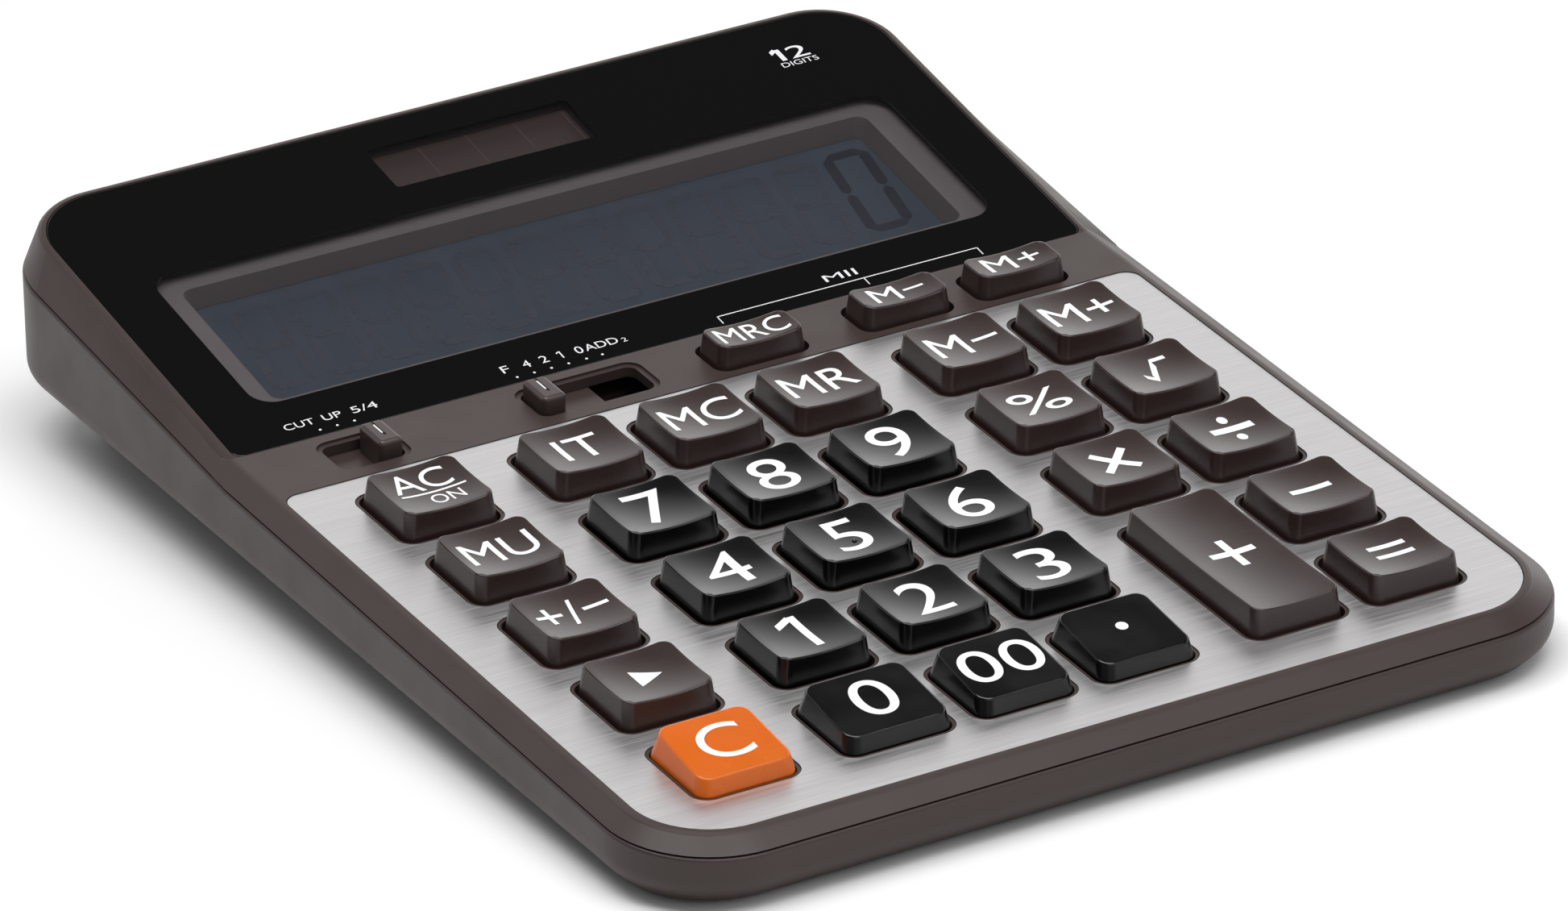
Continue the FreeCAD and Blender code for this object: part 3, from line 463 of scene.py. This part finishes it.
def metal(name, colour, roughness, size, stretch, depth):
    """Metal with brushed or rolled streaks."""
    finish = new_finish(name, colour, roughness, Metallic=1.0)
    streaks = noise(finish, size, stretch, detail=4.0)
    emboss(finish, streaks, depth, 0.35)
    tint(finish, streaks, shade(colour, 0.90), shade(colour, 1.08))
    vary(finish, streaks, "Roughness", roughness - 0.06, roughness + 0.08)
    return finish


def divided(name, colour, line, pitch, width, roughness):
    """A film divided into cells by thin upright lines."""
    finish = new_finish(name, colour, roughness)
    link = finish.node_tree.links.new
    place = add_node(finish, "ShaderNodeTexCoord")
    split = add_node(finish, "ShaderNodeSeparateXYZ")
    wrap = finish.node_tree.nodes.new("ShaderNodeMath")
    wrap.operation = "PINGPONG"
    wrap.inputs[1].default_value = pitch / 2
    edge = finish.node_tree.nodes.new("ShaderNodeMath")
    edge.operation = "LESS_THAN"
    edge.inputs[1].default_value = width / 2
    link(place.outputs["Object"], split.inputs["Vector"])
    link(split.outputs["X"], wrap.inputs[0])
    link(wrap.outputs["Value"], edge.inputs[0])
    tint(finish, edge.outputs["Value"], colour, line, 0.2, 0.8)
    emboss(finish, noise(finish, 0.6 * MM), 0.002 * MM)
    return finish


def paint(finish, *nodes):
    """Gives CAD nodes a finish."""
    for node in nodes:
        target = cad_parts[node]
        if not target.material_slots:
            target.data.materials.append(finish)
        for slot in target.material_slots:
            slot.material = finish


class CALC_OT_paint_case(bpy.types.Operator):
    """Finishes of the case, plate, fixings, board and battery parts"""
    bl_idname = "calc.paint_case"
    bl_label = "Paint case and fixings"

    def execute(self, context):
        colours = context.scene.calc_colours
        case = moulded("case_grain", colours.case, 0.44, 0.30 * MM, 0.012 * MM, Specular_IOR_Level=0.35)
        paint(case, "upper_case", "lower_case", "battery_cover")
        paint(moulded("switch_satin", shade(colours.case, 1.05), 0.34, 0.4 * MM, 0.003 * MM),
              "rounding_switch", "decimal_switch")
        brushed = metal("plate_brushed", colours.metal, 0.40, 0.16 * MM, (0.012, 1.0, 1.0), 0.004 * MM)
        paint(brushed, "face_plate")
        for name, tone, roughness, grain, depth, nodes in MOULDINGS:
            paint(moulded(name, tone, roughness, grain * MM, depth * MM), *nodes)
        for name, tone, roughness, size, stretch, depth, nodes in METALS:
            paint(metal(name, tone, roughness, size * MM, stretch, depth * MM), *nodes)
        silicone = moulded("mat_silicone", (0.16, 0.16, 0.165), 0.60, 0.6 * MM, 0.01 * MM,
                           Subsurface_Weight=0.1)
        paint(silicone, "key_mat")
        return {"FINISHED"}


def is_top(face):
    """True for a face that looks up."""
    return face.normal.z > 0.9


def hollow(across, radius):
    """How far a hollow of a given radius rises at a distance from its middle."""
    return radius - math.sqrt(radius ** 2 - across ** 2)


def top_rim(edge):
    """True for an edge between a cap's top and one of its walls."""
    if len(edge.link_faces) != 2:
        return False
    rises = sorted(face.normal.z for face in edge.link_faces)
    return rises[0] < 0.6 and rises[1] > 0.8


def cap_box(name, sizes):
    """Low and high corner of a key with its hidden flange, and its cap's width and depth."""
    low, high = box_on(PLATE_LEVEL, "key_" + name)
    width, depth = (round(side - 2 * sizes.flange, 5) for side in (high - low).xy)
    return low, high, width, depth


def dished_cap(name, width, depth, foot, rise, sizes):
    """A drafted keycap whose top is hollowed from side to side and less from front to rear."""
    cap = block(name, (-width / 2, -depth / 2, foot), (width / 2, depth / 2, rise))
    round_uprights(cap, sizes.corner, 7)
    edit(cap, "FACE")
    choose(cap, "faces", is_top)
    lean = (1 - 2 * sizes.draft_side / width, 1 - 2 * sizes.draft_end / depth, 1.0)
    bpy.ops.transform.resize(value=lean, center_override=(0.0, 0.0, rise))
    half_x, half_y = width / 2 - sizes.draft_side, depth / 2 - sizes.draft_end
    for half, turn in ((half_x, Vector((1.0, 0.0, 0.0))), (half_y, Vector((0.0, 1.0, 0.0)))):
        for cut in range(1, sizes.slices + 1):
            choose(cap, "faces", is_top)
            across = half * (2 * cut / (sizes.slices + 1) - 1)
            bpy.ops.mesh.bisect(plane_co=turn * across, plane_no=turn, threshold=TINY)
    shape = bmesh.from_edit_mesh(cap.data)
    along = max(sizes.dish_along, half_y ** 2 / sizes.long_depth)
    brim = hollow(half_x, sizes.dish) + hollow(half_y, along)
    for vertex in shape.verts:
        if vertex.co.z > rise - TINY:
            vertex.co.z += hollow(vertex.co.x, sizes.dish) + hollow(vertex.co.y, along) - brim
    bmesh.update_edit_mesh(cap.data)
    choose(cap, "edges", top_rim)
    bpy.ops.mesh.bevel(offset=sizes.edge, segments=3, affect="EDGES")
    bpy.ops.object.mode_set(mode="OBJECT")
    soften(cap, math.radians(50))
    return cap


def key_finishes(colours):
    """The finishes of the brown, black and orange keys."""
    brown = moulded("key_brown", colours.brown_key, 0.26, 0.35 * MM, 0.004 * MM)
    black = moulded("key_black", colours.black_key, 0.20, 0.5 * MM, 0.0015 * MM)
    orange = moulded("key_orange", colours.orange_key, 0.26, 0.4 * MM, 0.003 * MM, Subsurface_Weight=0.12,
                     Subsurface_Radius=(0.0015, 0.0007, 0.0003), Subsurface_Scale=1.0)
    return brown, black, orange


class CALC_OT_make_caps(bpy.types.Operator):
    """Keycaps with drafted walls and hollow tops, and the finish of the sloping front row"""
    bl_idname = "calc.make_caps"
    bl_label = "Make keycaps"

    def execute(self, context):
        sizes = context.scene.calc_caps
        brown, black, orange = key_finishes(context.scene.calc_colours)
        models = {}
        for name in DISHED_LEGENDS:
            low, high, width, depth = cap_box(name, sizes)
            kind = (width, depth, round(high.z, 5))
            if kind not in models:
                models[kind] = dished_cap("cap_model", width, depth, low.z, high.z, sizes)
            middle = (low + high) / 2
            cap = copy_piece(models[kind], "cap_" + name, (middle.x, middle.y, 0.0))
            settle(cap, PLATE_LEVEL)
            number = name in BLACK_KEYS
            finish_piece(cap, name + "_key", "black_key_plastic" if number else "brown_key_plastic",
                         black if number else brown, "key_" + name)
        for model in models.values():
            remove(model)
        for name in SLOPED_LEGENDS:
            paint(black if name in BLACK_KEYS else orange, "key_" + name)
        return {"FINISHED"}


# ---------------------------------------------------------------- printing

def fit(piece, width, height, middle):
    """Scales a flat shape to a width and height and centres it."""
    low, high = span(piece.bound_box)
    edit_all(piece)
    bpy.ops.transform.translate(value=-(low + high) / 2)
    scale = (width / (high.x - low.x), height / (high.y - low.y), 1.0)
    bpy.ops.transform.resize(value=scale, center_override=(0.0, 0.0, 0.0))
    bpy.ops.transform.translate(value=(middle[0], middle[1], 0.0))
    bpy.ops.object.mode_set(mode="OBJECT")
    return piece


def letters(name, text, width, height, middle):
    """Flat letters of a given size."""
    leave_edit()
    bpy.ops.object.text_add(location=(0.0, 0.0, 0.0))
    piece = name_piece(name)
    piece.data.body = text
    piece.data.resolution_u = 8
    bpy.ops.object.convert(target="MESH")
    piece = name_piece(name)
    return fit(piece, width, height, middle)


def bar(name, width, height, middle, lean=0.0):
    """A flat printed bar, which may climb to the right."""
    leave_edit()
    bpy.ops.mesh.primitive_plane_add(size=1.0)
    piece = name_piece(name)
    edit_all(piece, "EDGE")
    bpy.ops.mesh.subdivide(number_cuts=1)
    bpy.ops.object.mode_set(mode="OBJECT")
    fit(piece, width, height, middle)
    for vertex in piece.data.vertices:
        vertex.co.y += (vertex.co.x - middle[0]) * lean
    return piece


def numeral_one(name, height, stroke, middle):
    """A one with a climbing flag at the left of its stem."""
    flag = height * 0.28
    flag_x = middle[0] - stroke / 2 - flag / 2
    flag_y = middle[1] + height * 0.36
    stem = bar(name, stroke, height, middle)
    top = bar("flag", flag, stroke * 1.15, (flag_x, flag_y), 0.62)
    return join(name, [stem, top])


def root_sign(name):
    """A root sign: a short stroke down, a long stroke up and a bar."""
    bars = [bar(part, width * MM, height * MM, (x * MM, y * MM), climb)
            for part, width, height, x, y, climb in ROOT_BARS]
    return join(name, bars)


def dot(name, radius, middle, vertices=28):
    """A flat printed dot, or a triangle with three vertices."""
    leave_edit()
    bpy.ops.mesh.primitive_circle_add(vertices=vertices, radius=radius, fill_type="NGON",
                                      rotation=(0.0, 0.0, -math.pi / 2))
    piece = name_piece(name)
    bpy.ops.object.transform_apply(location=True, rotation=True, scale=True)
    edit_all(piece)
    bpy.ops.transform.translate(value=(middle[0], middle[1], 0.0))
    bpy.ops.object.mode_set(mode="OBJECT")
    return piece


def slice_up(piece, step):
    """Cuts a flat shape into a grid of small pieces so that it can follow a hollow."""
    for axis in (0, 1):
        places = [vertex.co[axis] for vertex in piece.data.vertices]
        first, last = min(places), max(places)
        turn = Vector([float(axis == side) for side in range(3)])
        edit(piece, "VERT")
        for cut in range(1, math.ceil((last - first) / step)):
            bpy.ops.mesh.select_all(action="SELECT")
            bpy.ops.mesh.bisect(plane_co=turn * (first + cut * step), plane_no=turn, threshold=TINY)
        bpy.ops.object.mode_set(mode="OBJECT")


def ink_on(piece, target, middle, above, sizes):
    """Lays flat printing onto a keycap as a thin film."""
    slice_up(piece, sizes.slice)
    piece.matrix_world = PLATE_LEVEL @ Matrix.Translation((middle.x, middle.y, above))
    bpy.context.view_layer.update()
    apply_modifier(piece, "SHRINKWRAP", target=target, wrap_method="PROJECT", use_project_z=True,
                   use_negative_direction=True, use_positive_direction=False, offset=sizes.lift)
    apply_modifier(piece, "SOLIDIFY", thickness=sizes.film, offset=1.0)
    settle(piece)


def on_off_legend(name):
    """The two-line legend of the key that turns the calculator on."""
    return join(name, [letters(name, "AC", 9.6 * MM, 5.4 * MM, (-0.4 * MM, 2.6 * MM)),
                       bar("rule", 10.6 * MM, 0.45 * MM, (0.2 * MM, -1.0 * MM)),
                       letters("on", "ON", 5.2 * MM, 2.9 * MM, (1.2 * MM, -3.4 * MM))])


DRAWN_LEGENDS = {
    "arrow": lambda name: fit(dot(name, 1.0, (0.0, 0.0), 3), 4.4 * MM, 4.6 * MM, (0.2 * MM, 0.0)),
    "one": lambda name: numeral_one(name, 9.2 * MM, 1.25 * MM, (0.6 * MM, 0.1 * MM)),
    "point": lambda name: dot(name, 0.95 * MM, (0.0, 0.2 * MM)),
    "root": root_sign,
    "all_clear": on_off_legend,
}


def legend(name, plan):
    """The flat legend of one key, centred on the key."""
    if plan is None:
        return DRAWN_LEGENDS[name]("legend_" + name)
    text, width, height = plan
    return letters("legend_" + name, text, width * MM, height * MM, (0.0, 0.1 * MM))


class CALC_OT_print_legends(bpy.types.Operator):
    """White legends that follow the tops of the keys"""
    bl_idname = "calc.print_legends"
    bl_label = "Print legends"

    def execute(self, context):
        sizes = context.scene.calc_print
        ink = moulded("legend_ink", context.scene.calc_colours.ink, 0.42, 0.25 * MM, 0.002 * MM)
        for name, plan in {**DISHED_LEGENDS, **SLOPED_LEGENDS}.items():
            dished = name in DISHED_LEGENDS
            target = bpy.data.objects["cap_" + name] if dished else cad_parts["key_" + name]
            low, high = box_on(PLATE_LEVEL, "key_" + name)
            piece = legend(name, plan)
            ink_on(piece, target, (low + high) / 2, high.z + 2 * MM, sizes)
            finish_piece(piece, name + "_key", "window_sheet", ink)
        return {"FINISHED"}


class CALC_OT_mark_pieces(bpy.types.Operator):
    """Painted highlight lines in the pointer grooves of the two slide knobs, and the small nub on the middle
    key
    """
    bl_idname = "calc.mark_pieces"
    bl_label = "Mark knobs and middle key"

    def execute(self, context):
        sizes = context.scene.calc_print
        # The white pointer lines are painted highlights for the light along the knobs' pointer grooves.
        ink = moulded("pointer_ink", context.scene.calc_colours.ink, 0.42, 0.25 * MM, 0.002 * MM)
        for name in ("rounding", "decimal"):
            self.mark_knob(name, ink, sizes)
        self.mark_five(sizes, context.scene.calc_caps)
        return {"FINISHED"}

    @staticmethod
    def mark_knob(name, ink, sizes):
        """The pointer line across the top of a slide knob: a painted highlight, a white line that stands for
        the light caught in the knob's pointer groove.
        """
        low, high = box_on(PLATE_LEVEL, name + "_switch")
        middle = (low + high) / 2
        half = sizes.pointer_width / 2
        line = block("pointer_" + name,
                     (middle.x - half, middle.y - sizes.pointer_front, high.z - sizes.pointer_foot),
                     (middle.x + half, middle.y + sizes.pointer_rear, high.z - sizes.pointer_top))
        edit(line, "FACE")
        choose(line, "faces", is_top)
        bpy.ops.mesh.bevel(offset=sizes.pointer_edge, segments=2, affect="EDGES")
        leave_edit()
        settle(line, PLATE_LEVEL)
        finish_piece(line, name + "_slider", "window_sheet", ink)

    @staticmethod
    def mark_five(sizes, caps):
        """The small nub in the dish of the middle key."""
        low, high, width, depth = cap_box("five", caps)
        middle = (low + high) / 2
        leave_edit()
        bpy.ops.mesh.primitive_uv_sphere_add(segments=24, ring_count=12, radius=sizes.nub)
        nub = name_piece("nub_five")
        edit_all(nub)
        bpy.ops.transform.resize(value=(1.0, 1.0, 0.6), center_override=(0.0, 0.0, 0.0))
        soften(nub, math.radians(50))
        brim = (hollow(width / 2 - caps.draft_side, caps.dish)
                + hollow(depth / 2 - caps.draft_end, caps.dish_along))
        place = (middle.x + sizes.nub_right, middle.y - sizes.nub_front, high.z - brim + sizes.nub_rise)
        settle(nub, PLATE_LEVEL @ Matrix.Translation(place))
        finish_piece(nub, "five_key", "black_key_plastic", bpy.data.materials["key_black"])


# ---------------------------------------------------------------- window and display

def rounded_block(name, low, high, corner, front_corner=None):
    """A block with rounded upright edges."""
    piece = block(name, low, high)
    middle = (low[1] + high[1]) / 2
    if front_corner is None:
        round_uprights(piece, corner, 8)
        return piece
    round_uprights(piece, corner, 16, lambda edge: edge.verts[0].co.y > middle)
    round_uprights(piece, front_corner, 6, lambda edge: edge.verts[0].co.y < low[1] + 0.01 * MM)
    return piece


def pierce(piece, cutter):
    """Cuts one piece out of another and deletes the cutter."""
    apply_modifier(piece, "BOOLEAN", operation="DIFFERENCE", solver="EXACT", object=cutter)
    remove(cutter)


class CALC_OT_make_window(bpy.types.Operator):
    """Black window sheet with a clear view of the display and of the solar cell"""
    bl_idname = "calc.make_window"
    bl_label = "Make window"

    def execute(self, context):
        sizes = context.scene.calc_window
        low, high = box_on(WINDOW_LEVEL, "display_window")
        half, front = sizes.view_width / 2, sizes.view_front
        view = ((-half, front), (half, front + sizes.view_depth), sizes.view_corner)
        cell_low, cell_high = box_on(WINDOW_LEVEL, "solar_cell")
        cell = (cell_low.xy, cell_high.xy, sizes.cell_corner)
        low.z = -sizes.pane
        sheet = rounded_block("window_sheet", low, high, sizes.rear_corner, sizes.front_corner)
        for near, far, corner in (view, cell):
            pierce(sheet, rounded_block("cutter", (*near, low.z - MM), (*far, MM), corner))
        edit(sheet, "EDGE")
        choose(sheet, "edges", lambda edge: all(vertex.co.z > -TINY for vertex in edge.verts)
               and top_rim(edge) and not self.inside(edge, (view, cell)))
        bpy.ops.mesh.bevel(offset=sizes.edge, segments=3, affect="EDGES")
        bpy.ops.object.mode_set(mode="OBJECT")
        soften(sheet, math.radians(40))
        settle(sheet, WINDOW_LEVEL)
        black = new_finish("window_black", (0.0025, 0.0022, 0.0022), 0.045, Specular_IOR_Level=0.5)
        wear(black, 0.035, 0.06, 30 * MM)
        finish_piece(sheet, CASE, "window_sheet", black, "display_window")
        clear = new_finish("window_clear", (0.02, 0.02, 0.022), 0.045, Alpha=0.12)
        wear(clear, 0.035, 0.06, 30 * MM)
        for name, (near, far, corner) in (("view_pane", view), ("cell_pane", cell)):
            pane = rounded_block(name, (*near, -sizes.pane), (*far, 0.0), corner)
            soften(pane, math.radians(40))
            settle(pane, WINDOW_LEVEL)
            finish_piece(pane, CASE, "window_sheet", clear)
        return {"FINISHED"}

    @staticmethod
    def inside(edge, openings):
        """True for an edge of one of the openings."""
        middle = (edge.verts[0].co + edge.verts[1].co) / 2
        return any(near[0] - MM < middle.x < far[0] + MM and near[1] - MM < middle.y < far[1] + MM
                   for near, far, _ in openings)


def segment(name, length, thick, turned, middle):
    """One bar of a digit, pointed at both ends."""
    leave_edit()
    bpy.ops.mesh.primitive_plane_add(size=1.0)
    piece = name_piece(name)
    size = (thick, length) if turned else (length, thick)
    fit(piece, size[0], size[1], middle)
    edit_all(piece)
    bpy.ops.mesh.bevel(offset=thick * 0.48, segments=1, affect="VERTICES")
    bpy.ops.object.mode_set(mode="OBJECT")
    return piece


def digit(name, width, height, thick, bars, lean):
    """A slanted seven-bar digit with the bars asked for."""
    gap = 0.12 * MM
    tall = (height - thick) / 2
    wide = width - thick
    places = {
        "top": (False, (0.0, tall)), "middle": (False, (0.0, 0.0)), "bottom": (False, (0.0, -tall)),
        "upper_left": (True, (-wide / 2, tall / 2)), "upper_right": (True, (wide / 2, tall / 2)),
        "lower_left": (True, (-wide / 2, -tall / 2)), "lower_right": (True, (wide / 2, -tall / 2)),
    }
    parts = []
    for part in bars:
        turned, middle = places[part]
        length = (tall if turned else wide) - 2 * gap
        parts.append(segment(part, length, thick, turned, middle))
    piece = join(name, parts)
    for vertex in piece.data.vertices:
        vertex.co.x += vertex.co.y * lean
    return piece


NOUGHT_BARS = ("top", "bottom", "upper_left", "upper_right", "lower_left", "lower_right")


class CALC_OT_make_display(bpy.types.Operator):
    """Display glass with a shown nought drawn dark and large to take in its shadow on the reflector (painted
    shadow), faint unlit digits, its frame and the solar cell
    """
    bl_idname = "calc.make_display"
    bl_label = "Make display"

    def execute(self, context):
        sizes = context.scene.calc_window
        # The bezel's grey is set lighter than its sides alone need, to lift its top strip out of the
        # window's shade: partly painted light.
        paint(moulded("bezel_satin", (0.125, 0.108, 0.112), 0.50, 0.4 * MM, 0.01 * MM), "display_bezel")
        glass = new_finish("display_glass", (0.052, 0.062, 0.082), 0.25)
        tint(glass, noise(glass, 6 * MM, (1.0, 0.03, 1.0)), (0.048, 0.057, 0.076), (0.056, 0.067, 0.088))
        emboss(glass, noise(glass, 0.5 * MM), 0.001 * MM)
        paint(glass, "lcd_panel")
        cells = divided("solar_film_dark", (0.045, 0.029, 0.027), (0.075, 0.052, 0.048),
                        8.4 * MM, 0.25 * MM, 0.35)
        paint(cells, "solar_cell")
        places = [self.place(sizes, place) for place in range(sizes.digits)]
        self.show("display_unlit", (*NOUGHT_BARS, "middle"), places[:-1], context.scene,
                  new_finish("digit_faint", (0.050, 0.058, 0.073), 0.3))
        # Painted shadow: the dark nought is the shown digit and its shadow on the reflector behind, as one
        # dark shape.
        self.show("display_digit", NOUGHT_BARS, places[-1:], context.scene,
                  new_finish("digit_dark", (0.024, 0.028, 0.038), 0.3))
        return {"FINISHED"}

    @staticmethod
    def place(sizes, place):
        """Where a digit lies on the window's level, counted from the left."""
        across = (place - (sizes.digits - 1) / 2 + sizes.digit_right) * sizes.digit_pitch
        up = sizes.view_front + sizes.view_depth * sizes.digit_level
        return Vector((across, up, box_on(WINDOW_LEVEL, "lcd_panel")[1].z + sizes.digit_gap))

    @staticmethod
    def show(name, bars, places, scene, finish):
        """Lays one shape of digit on the glass at each place, as one piece."""
        sizes = scene.calc_window
        model = digit("digit_model", sizes.digit_width, sizes.digit_height, sizes.digit_stroke,
                      bars, sizes.digit_lean)
        piece = join(name, [copy_piece(model, "digit_copy", place) for place in places])
        remove(model)
        apply_modifier(piece, "SOLIDIFY", thickness=scene.calc_print.thin_film, offset=1.0)
        settle(piece, WINDOW_LEVEL)
        wear(finish, 0.25, 0.35, 2 * MM)
        finish_piece(piece, CASE, "lcd_glass", finish)


class CALC_OT_print_window(bpy.types.Operator):
    """White printing along the front of the window: switch positions and the memory bracket"""
    bl_idname = "calc.print_window"
    bl_label = "Print window"

    def execute(self, context):
        sizes = context.scene.calc_print
        left = box_on(WINDOW_LEVEL, "display_window")[0].x
        parts = [letters(name, text, width * MM, height * MM, (left + x * MM, y * MM))
                 for name, text, width, height, x, y in WINDOW_WORDS]
        parts += [numeral_one(name, height * MM, stroke * MM, (left + x * MM, y * MM))
                  for name, height, stroke, x, y in WINDOW_ONES]
        parts += [bar(name, width * MM, height * MM, (left + x * MM, y * MM))
                  for name, width, height, x, y in WINDOW_BARS]
        parts += [dot("mark", 0.22 * MM, (left + x * MM, 1.35 * MM), 16) for x in SWITCH_PLACES]
        piece = join("window_print", parts)
        apply_modifier(piece, "SOLIDIFY", thickness=sizes.thin_film, offset=1.0)
        settle(piece, WINDOW_LEVEL @ Matrix.Translation((0.0, 0.0, sizes.lift)))
        ink = moulded("window_ink", shade(context.scene.calc_colours.ink, 0.9), 0.4, 0.2 * MM, 0.001 * MM)
        finish_piece(piece, CASE, "window_sheet", ink)
        return {"FINISHED"}


# ---------------------------------------------------------------- studio

def area_light(name, place, width, height, power):
    """A rectangular softbox that faces the middle of the floor."""
    leave_edit()
    bpy.ops.object.light_add(type="AREA", location=place)
    light = bpy.context.object
    light.name = name
    light.data.shape = "RECTANGLE"
    light.data.size = width
    light.data.size_y = height
    light.data.energy = power
    light.rotation_euler = (-Vector(place)).to_track_quat("-Z", "Y").to_euler()


class CALC_OT_set_stage(bpy.types.Operator):
    """Pale floor, soft studio light and the camera"""
    bl_idname = "calc.set_stage"
    bl_label = "Set stage"

    def execute(self, context):
        studio = context.scene.calc_studio
        leave_edit()
        bpy.ops.mesh.primitive_plane_add(size=studio.floor, location=(0.0, 0.0, -studio.gap))
        floor = name_piece("floor")
        bpy.ops.object.transform_apply(location=True, rotation=True, scale=True)
        pale = new_finish("floor_pale", (0.90, 0.90, 0.90), 0.9)
        tint(pale, noise(pale, 0.4), (0.89, 0.89, 0.89), (0.91, 0.91, 0.91))
        floor.data.materials.append(pale)
        for name, place, width, depth, share in SOFTBOXES:
            area_light(name, place, width, depth, studio.softbox * share)
        world = bpy.data.worlds.new("studio")
        context.scene.world = world
        world.use_nodes = True
        self.sweep(world, studio)
        look = Euler((math.pi / 2 - studio.elevation, 0.0, -studio.heading)).to_matrix().to_4x4()
        look = look @ Matrix.Rotation(studio.roll, 4, "Z")
        bpy.ops.object.camera_add()
        camera = bpy.context.object
        camera.name = "camera"
        camera.data.lens = studio.focal
        camera.data.sensor_width = studio.sensor
        camera.data.clip_end = 20.0
        stand = Vector(studio.aim) + look.col[2].xyz * studio.distance
        camera.matrix_world = Matrix.Translation(stand) @ look
        context.scene.camera = camera
        context.scene.view_settings.view_transform = "Standard"
        return {"FINISHED"}

    @staticmethod
    def sweep(world, studio):
        """A white backdrop low behind the object, under a dim ceiling and in front of a dim room."""
        nodes, link = world.node_tree.nodes, world.node_tree.links.new
        place = nodes.new("ShaderNodeTexCoord")
        split = nodes.new("ShaderNodeSeparateXYZ")
        rear = nodes.new("ShaderNodeVectorMath")
        rear.operation = "DOT_PRODUCT"
        rear.inputs[1].default_value = (math.sin(studio.heading), math.cos(studio.heading), 0.0)
        behind = nodes.new("ShaderNodeMapRange")
        height = nodes.new("ShaderNodeMapRange")
        for spread, near, far, first, last in ((behind, 0.0, 0.7, 0.0, 1.0), (height, 0.30, 0.66, 1.0, 0.0)):
            for key, setting in zip(("From Min", "From Max", "To Min", "To Max"), (near, far, first, last)):
                spread.inputs[key].default_value = setting
        both = nodes.new("ShaderNodeMath")
        both.operation = "MULTIPLY"
        ramp = nodes.new("ShaderNodeValToRGB")
        ramp.color_ramp.elements[0].color = (0.035, 0.035, 0.037, 1.0)
        ramp.color_ramp.elements[1].color = (1.0, 1.0, 1.0, 1.0)
        link(place.outputs["Generated"], split.inputs["Vector"])
        link(place.outputs["Generated"], rear.inputs[0])
        link(rear.outputs["Value"], behind.inputs["Value"])
        link(split.outputs["Z"], height.inputs["Value"])
        link(behind.outputs["Result"], both.inputs[0])
        link(height.outputs["Result"], both.inputs[1])
        link(both.outputs["Value"], ramp.inputs["Fac"])
        link(ramp.outputs["Color"], nodes["Background"].inputs["Color"])
        nodes["Background"].inputs["Strength"].default_value = studio.backdrop


class CALC_PT_panel(bpy.types.Panel):
    """Shows the sizes, colours and studio settings, and a button for each step"""
    bl_idname = "CALC_PT_panel"
    bl_label = "Desk calculator"
    bl_space_type = "VIEW_3D"
    bl_region_type = "UI"
    bl_category = "Calculator"

    def draw(self, context):
        for group in (context.scene.calc_caps, context.scene.calc_print, context.scene.calc_window,
                      context.scene.calc_colours, context.scene.calc_studio):
            column = self.layout.column(align=True)
            for key in group.__annotations__:
                column.prop(group, key)
        for operator in OPERATORS:
            self.layout.operator(operator.bl_idname)


GROUPS = {"calc_caps": CapSizes, "calc_print": PrintSizes, "calc_window": WindowSizes,
          "calc_colours": Colours, "calc_studio": StudioSizes}
OPERATORS = (CALC_OT_paint_case, CALC_OT_make_caps, CALC_OT_print_legends, CALC_OT_mark_pieces,
             CALC_OT_make_window, CALC_OT_make_display, CALC_OT_print_window, CALC_OT_set_stage)


def register():
    """Registers the groups, operators and panel."""
    for name, group in GROUPS.items():
        bpy.utils.register_class(group)
        setattr(bpy.types.Scene, name, PointerProperty(type=group))
    for operator in OPERATORS:
        bpy.utils.register_class(operator)
    bpy.utils.register_class(CALC_PT_panel)


def unregister():
    """Takes them away again."""
    bpy.utils.unregister_class(CALC_PT_panel)
    for operator in reversed(OPERATORS):
        bpy.utils.unregister_class(operator)
    for name, group in reversed(GROUPS.items()):
        delattr(bpy.types.Scene, name)
        bpy.utils.unregister_class(group)


def main():
    """Makes the calculator and its studio."""
    register()
    bpy.ops.calc.paint_case()
    bpy.ops.calc.make_caps()
    bpy.ops.calc.print_legends()
    bpy.ops.calc.mark_pieces()
    bpy.ops.calc.make_window()
    bpy.ops.calc.make_display()
    bpy.ops.calc.print_window()
    bpy.ops.calc.set_stage()


if __name__ == "__main__":
    main()
